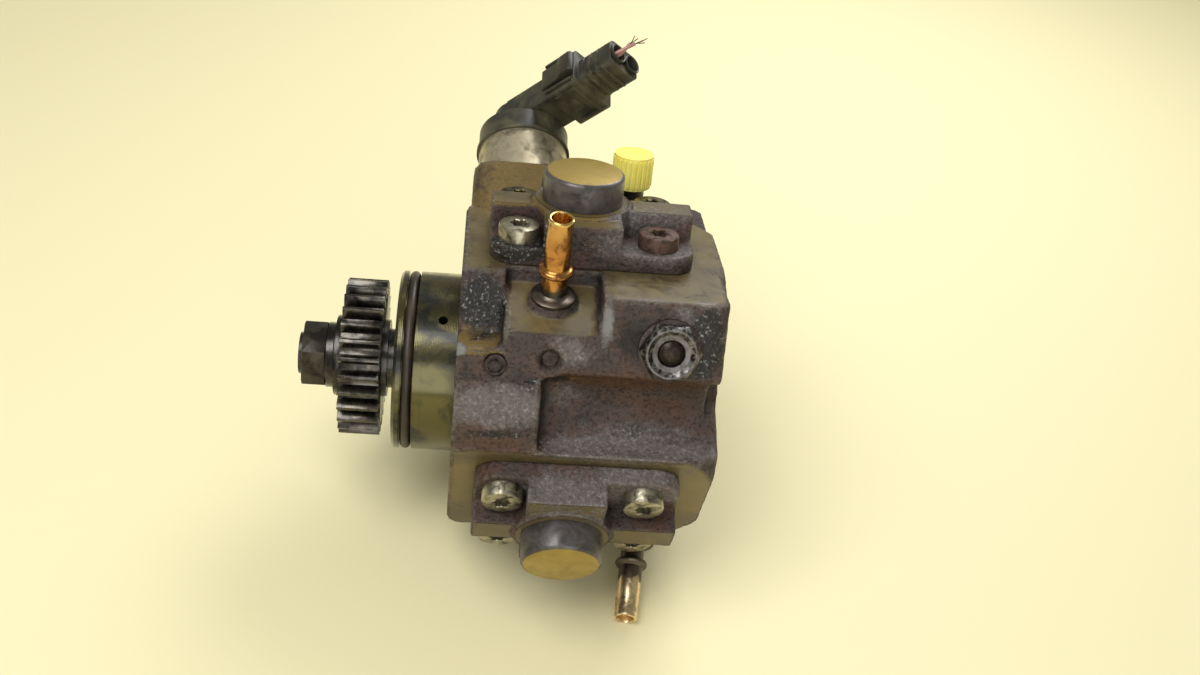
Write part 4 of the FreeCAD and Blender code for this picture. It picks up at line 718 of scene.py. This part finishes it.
def repeated(name, points, piece, turn, finish, replaced=()):
    # Sets one piece on every point, as a piece of the pump's body
    mesh = bpy.data.meshes.new(name)
    mesh.from_pydata([p * MM for p in points], [], [])
    obj = shown(name, mesh, None)
    modifier = obj.modifiers.new("repeat", "NODES")
    modifier.node_group = repeat_tree(name + "_tree", finish)
    set_inputs(modifier, {"Copied Piece": piece, "Turn": turn})
    settled(obj)
    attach(obj, "pump_body")
    if replaced:
        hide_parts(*replaced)


def head_screws():
    piece = bpy.data.objects.new("screw_pattern", lobed_screw())
    for i, angle in HEAD_ANGLES.items():
        up = outward(angle)
        side = outward(angle + 90)
        turn = Matrix((Vector((1, 0, 0)), up.cross(Vector((1, 0, 0))), up)).transposed().to_euler()
        centre = Vector((SCREW_CENTRE_X, 0, 0)) + up * SEAT_R
        places = {(sx, sy): centre + Vector((sx * SCREW_DX, 0, 0)) + side * (sy * SCREW_DY)
                  for sx in (-1, 1) for sy in (-1, 1)}
        # On the first head the near screw away from the gear is rusty and the far two are soaked
        rusty = [p for key, p in places.items() if i == 1 and key == (1, 1)]
        soaked = [p for key, p in places.items() if i == 1 and key[1] == -1]
        bright = [p for p in places.values() if p not in rusty + soaked]
        repeated("screws_%d" % i, bright, piece, turn, "zinc_screw", ["head_screws_%d" % i])
        if rusty:
            repeated("rusty_screw", rusty, piece, turn, "rusty_screw")
            repeated("soaked_screws", soaked, piece, turn, "oiled_screw")
    bpy.data.objects.remove(piece)


# Plug: latch, ribs, wire sleeves and cut wires, in the socket's own lay, its axis along x

SOCKET_AXIS_H = 96.5
SOCKET_TURN = 48.0
SOCKET_X = 19.0
SOCKET_OUT = 13.0
SOCKET_SIDE = 1.9
SLEEVE_Y = 3.6
SLEEVE_PROFILE = [(49.6, 2.75), (49.6, 3.1), (50.4, 3.5), (51.2, 3.55), (51.4, 3.3), (51.2, 2.9), (50.4, 2.7)]
PLUG_FLANK = -10.05
LATCH_OUTLINE = [(20.5, PLUG_FLANK), (21.5, -11.4), (29, -11.8), (31.5, -13.0), (35.5, -13.2), (36.5, -12.2),
                 (36.5, -10.9), (35.2, PLUG_FLANK)]
GUIDE_OUTLINE = [(22.5, PLUG_FLANK), (22.5, -11.1), (34.5, -11.1), (34.5, PLUG_FLANK)]
FRAME_OUTLINE = [(24, -7.6), (33.6, -7.6), (33.6, 7.6), (24, 7.6), (24, 6.5), (32.5, 6.5), (32.5, -6.5),
                 (24, -6.5)]
WINDOW_OUTLINE = [(25.5, -2.6), (30, -2.6), (30, 2.6), (25.5, 2.6)]
LATCH_HALF = 4.2
BODY_FACE = 7.55
TAIL_FACE = 5.55
WIRE_R = 0.6
STRAND_R = 0.16


def socket_lay():
    # Millimetres in the socket's lay to metres in the pump's
    up = outward(30.0 - ROLL)
    flat = outward(300.0 - ROLL)
    turn = math.radians(SOCKET_TURN)
    along = Vector((math.cos(turn), 0, 0)) - flat * math.sin(turn)
    side = Vector((math.sin(turn), 0, 0)) + flat * math.cos(turn)
    origin = Vector((SOCKET_X, 0, 0)) - flat * SOCKET_OUT - side * SOCKET_SIDE
    lay_matrix = Matrix((along, side, up)).transposed().to_4x4()
    lay_matrix.translation = origin
    return Matrix.Scale(MM, 4) @ lay_matrix


def plug_piece(name, work, bevel_mm=0.0):
    # Ends a piece of the plug that was built in the socket's lay
    bmesh.ops.recalc_face_normals(work, faces=work.faces)
    work.transform(socket_lay())
    mesh = bpy.data.meshes.new(name)
    work.to_mesh(mesh)
    work.free()
    obj = shown(name, mesh, None)
    if bevel_mm:
        break_edges(obj, bevel_mm, 30.0)
    smooth(obj.data, 40.0)
    obj.data.materials.append(finishes["black_plastic"])
    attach(obj, "plug")


def lathe_x(work, profile, y, z):
    # Turns a closed profile of (x, radius) round an axis along x
    around = 32
    loops = [[work.verts.new((x, y + r * math.cos(2 * math.pi * k / around),
                              z + r * math.sin(2 * math.pi * k / around))) for k in range(around)]
             for x, r in profile]
    ring_faces(work, loops, True)


def slab(work, outline, z0, z1):
    # Prism over an outline of (x, y)
    low = [work.verts.new((x, y, z0)) for x, y in outline]
    high = [work.verts.new((x, y, z1)) for x, y in outline]
    work.faces.new(low)
    work.faces.new(list(reversed(high)))
    for k in range(len(outline)):
        n = (k + 1) % len(outline)
        work.faces.new((low[k], high[k], high[n], low[n]))


def plug_details():
    z = SOCKET_AXIS_H
    sleeves = bmesh.new()
    for y in (-SLEEVE_Y, SLEEVE_Y):
        lathe_x(sleeves, SLEEVE_PROFILE, y, z)
    plug_piece("wire_sleeves", sleeves)
    latch = bmesh.new()
    slab(latch, LATCH_OUTLINE, z - LATCH_HALF, z + LATCH_HALF)
    for edge in (-6.6, 5.4):
        slab(latch, GUIDE_OUTLINE, z + edge, z + edge + 1.2)
    plug_piece("plug_latch", latch, bevel_mm=0.3)
    ribs = bmesh.new()
    for low, high in ((-BODY_FACE - 0.55, -BODY_FACE), (BODY_FACE, BODY_FACE + 0.55)):
        slab(ribs, FRAME_OUTLINE, z + low, z + high)
        slab(ribs, WINDOW_OUTLINE, z + low, z + high)
    for low, high in ((-TAIL_FACE - 0.65, -TAIL_FACE), (TAIL_FACE, TAIL_FACE + 0.65)):
        for x in (39.3, 42.5, 45.7):
            slab(ribs, [(x, -5.4), (x + 0.9, -5.4), (x + 0.9, 5.4), (x, 5.4)], z + low, z + high)
    plug_piece("plug_ribs", ribs, bevel_mm=0.15)


def tube(points, radius_mm):
    # Round wire along a smooth line through the socket's lay
    curve = bpy.data.curves.new("line", "CURVE")
    curve.dimensions = "3D"
    curve.bevel_depth = radius_mm * MM
    curve.bevel_resolution = 3
    curve.use_fill_caps = True
    line = curve.splines.new("NURBS")
    line.points.add(len(points) - 1)
    for point, spot in zip(line.points, points):
        point.co = (*(socket_lay() @ Vector(spot)), 1.0)
    line.order_u = 3
    line.use_endpoint_u = True
    line.resolution_u = 5
    obj = bpy.data.objects.new("line", curve)
    bpy.context.scene.collection.objects.link(obj)
    bpy.context.view_layer.update()
    mesh = bpy.data.meshes.new_from_object(obj.evaluated_get(bpy.context.evaluated_depsgraph_get()))
    bpy.data.objects.remove(obj)
    return mesh


def cut_wires():
    # Two thin wires cut off short, each jacket ending before its frayed copper
    z = SOCKET_AXIS_H
    jackets = [[(43.5, -4.4, z), (49, -4.4, z), (54, -4.2, z - 0.2), (58.2, -3.4, z + 0.1)],
               [(43.5, -2.8, z), (49, -2.8, z), (53, -3.0, z + 0.3), (56.6, -4.3, z + 0.5)]]
    tips = (((62.8, -2.2, 0.6), (62.2, -3.6, -0.9), (61.4, -2.0, -0.5)),
            ((60.0, -5.6, 1.1), (60.6, -4.6, 0.2)))
    strands = []
    for jacket, ends in zip(jackets, tips):
        x, y, h = jacket[-1]
        for tip_x, tip_y, rise in ends:
            middle = ((x + tip_x) / 2, (y + tip_y) / 2 + 0.3, h + rise * 0.3)
            strands.append([(x - 1.0, y, h), (x + 0.6, y + 0.1, h), middle, (tip_x, tip_y, z + rise)])
    for name, lines, radius, finish, replaced in (
            ("wire_jackets", jackets, WIRE_R, "pink_wire", ["harness_wires"]),
            ("frayed_strands", strands, STRAND_R, "braided_copper", [])):
        work = bmesh.new()
        for points in lines:
            work.from_mesh(tube(points, radius))
        mesh = bpy.data.meshes.new(name)
        bmesh.ops.remove_doubles(work, verts=work.verts, dist=0.001 * MM)
        work.to_mesh(mesh)
        work.free()
        mesh.shade_smooth()
        shown(name, mesh, "plug", replaced, finish)


# Turned and moulded pieces with broken edges

def worn_pieces():
    for node, width_mm, finish, body in (
            ("drive_gear", 0.18, "gear_steel", "shaft"), ("gear_nut", 0.5, "nut_steel", "shaft"),
            ("gear_washer", 0.4, "oiled_steel", "shaft"),
            ("metering_cover", 0.5, "black_plastic", "pump_body"),
            ("harness_plug", 0.5, "black_plastic", "plug")):
        soften(node, width_mm, finish, body)
    # The overflow valve's washer is crusted, and its rim's face is wiped
    way = outward(VALVE_ANGLE - ROLL)
    foot = head_up(*VALVE_FOOT)
    soften("overflow_body", 0.3, "worn_zinc_plug", "pump_body", crust=(foot, way, 1.0, 1.9),
           faces=[(way, foot.dot(way) + VALVE_RIM_H, 0.7)])


def spigots():
    way = outward(INLET_ANGLE - ROLL)
    foot = Vector((INLET_X, 0, 0)) + way * INLET_R + outward(INLET_ANGLE + 90 - ROLL) * INLET_SIDE
    spigot_tube("inlet_spigot", foot, way, INLET_LEN, INLET_BEAD_H, "copper_brass", (7.4, 8.6))
    # The return spigot stands on the second head's pad and leans towards the gear
    lean = math.radians(RETURN_LEAN)
    up = outward(HEAD_ANGLES[2])
    way = Vector((-math.sin(lean), 0, 0)) + up * math.cos(lean)
    foot = Vector((RETURN_X, 0, 0)) + up * PAD_R + outward(HEAD_ANGLES[2] + 90) * RETURN_SIDE
    spigot_tube("return_spigot", foot, way, RETURN_LEN, RETURN_BEAD_H, "tarnished_brass", (10.5, 15.0))


def head_caps():
    for i, angle in HEAD_ANGLES.items():
        soften("head_cap_%d" % i, 0.35, "black_cap", "pump_body", faces=[(outward(angle), CAP_TOP, 0.3)])


# Stage

FLOOR_HALF = 3000.0


def stage():
    low = cad_box[0].z
    pale = bpy.data.materials.new("pale_floor")
    pale.use_nodes = True
    shader = pale.node_tree.nodes["Principled BSDF"]
    shader.inputs["Base Color"].default_value = srgb("F4EBBE")
    shader.inputs["Roughness"].default_value = 0.7
    mesh = bpy.data.meshes.new("floor")
    half = FLOOR_HALF * MM
    corners = [(-half, -half, low), (half, -half, low), (half, half, low), (-half, half, low)]
    mesh.from_pydata(corners, [], [(0, 1, 2, 3)])
    floor = bpy.data.objects.new("floor", mesh)
    mesh.materials.append(pale)
    bpy.context.scene.collection.objects.link(floor)


def lamp(name, place_mm, aim_mm, size_mm, power):
    data = bpy.data.lights.new(name, "AREA")
    data.size = size_mm * MM
    data.energy = power
    obj = bpy.data.objects.new(name, data)
    obj.location = Vector(place_mm) * MM
    obj.rotation_mode = "QUATERNION"
    obj.rotation_quaternion = (Vector(aim_mm) - Vector(place_mm)).to_track_quat("-Z", "Y")
    bpy.context.scene.collection.objects.link(obj)


def lights():
    lamp("main_soft", (-250, -250, 700), (35, 0, 0), 500, 4.1)
    lamp("back_soft", (250, 420, 420), (35, 0, 20), 400, 2.4)
    lamp("front_fill", (60, -700, 240), (35, 0, 0), 500, 1.6)
    world = bpy.data.worlds.new("studio")
    bpy.context.scene.world = world
    world.use_nodes = True
    back = world.node_tree.nodes["Background"]
    back.inputs["Color"].default_value = srgb("F1EEDC")
    back.inputs["Strength"].default_value = 0.33


def camera():
    data = bpy.data.cameras.new("camera")
    data.lens = CAMERA_LENS
    data.sensor_width = CAMERA_SENSOR
    data.clip_start = 0.01
    obj = bpy.data.objects.new("camera", data)
    aim = Vector(CAMERA_AIM) - Vector(CAMERA_PLACE)
    look = aim.to_track_quat("-Z", "Y").to_matrix()
    roll = Matrix.Rotation(math.radians(CAMERA_ROLL), 3, "Z")
    obj.matrix_world = Matrix.Translation(Vector(CAMERA_PLACE) * MM) @ (look @ roll).to_4x4()
    bpy.context.scene.collection.objects.link(obj)
    bpy.context.scene.camera = obj


dress_cad()
castings()
pressed_springs()
head_screws()
plug_details()
cut_wires()
worn_pieces()
spigots()
head_caps()
stage()
lights()
camera()

scene = bpy.context.scene
scene.view_settings.view_transform = "Standard"
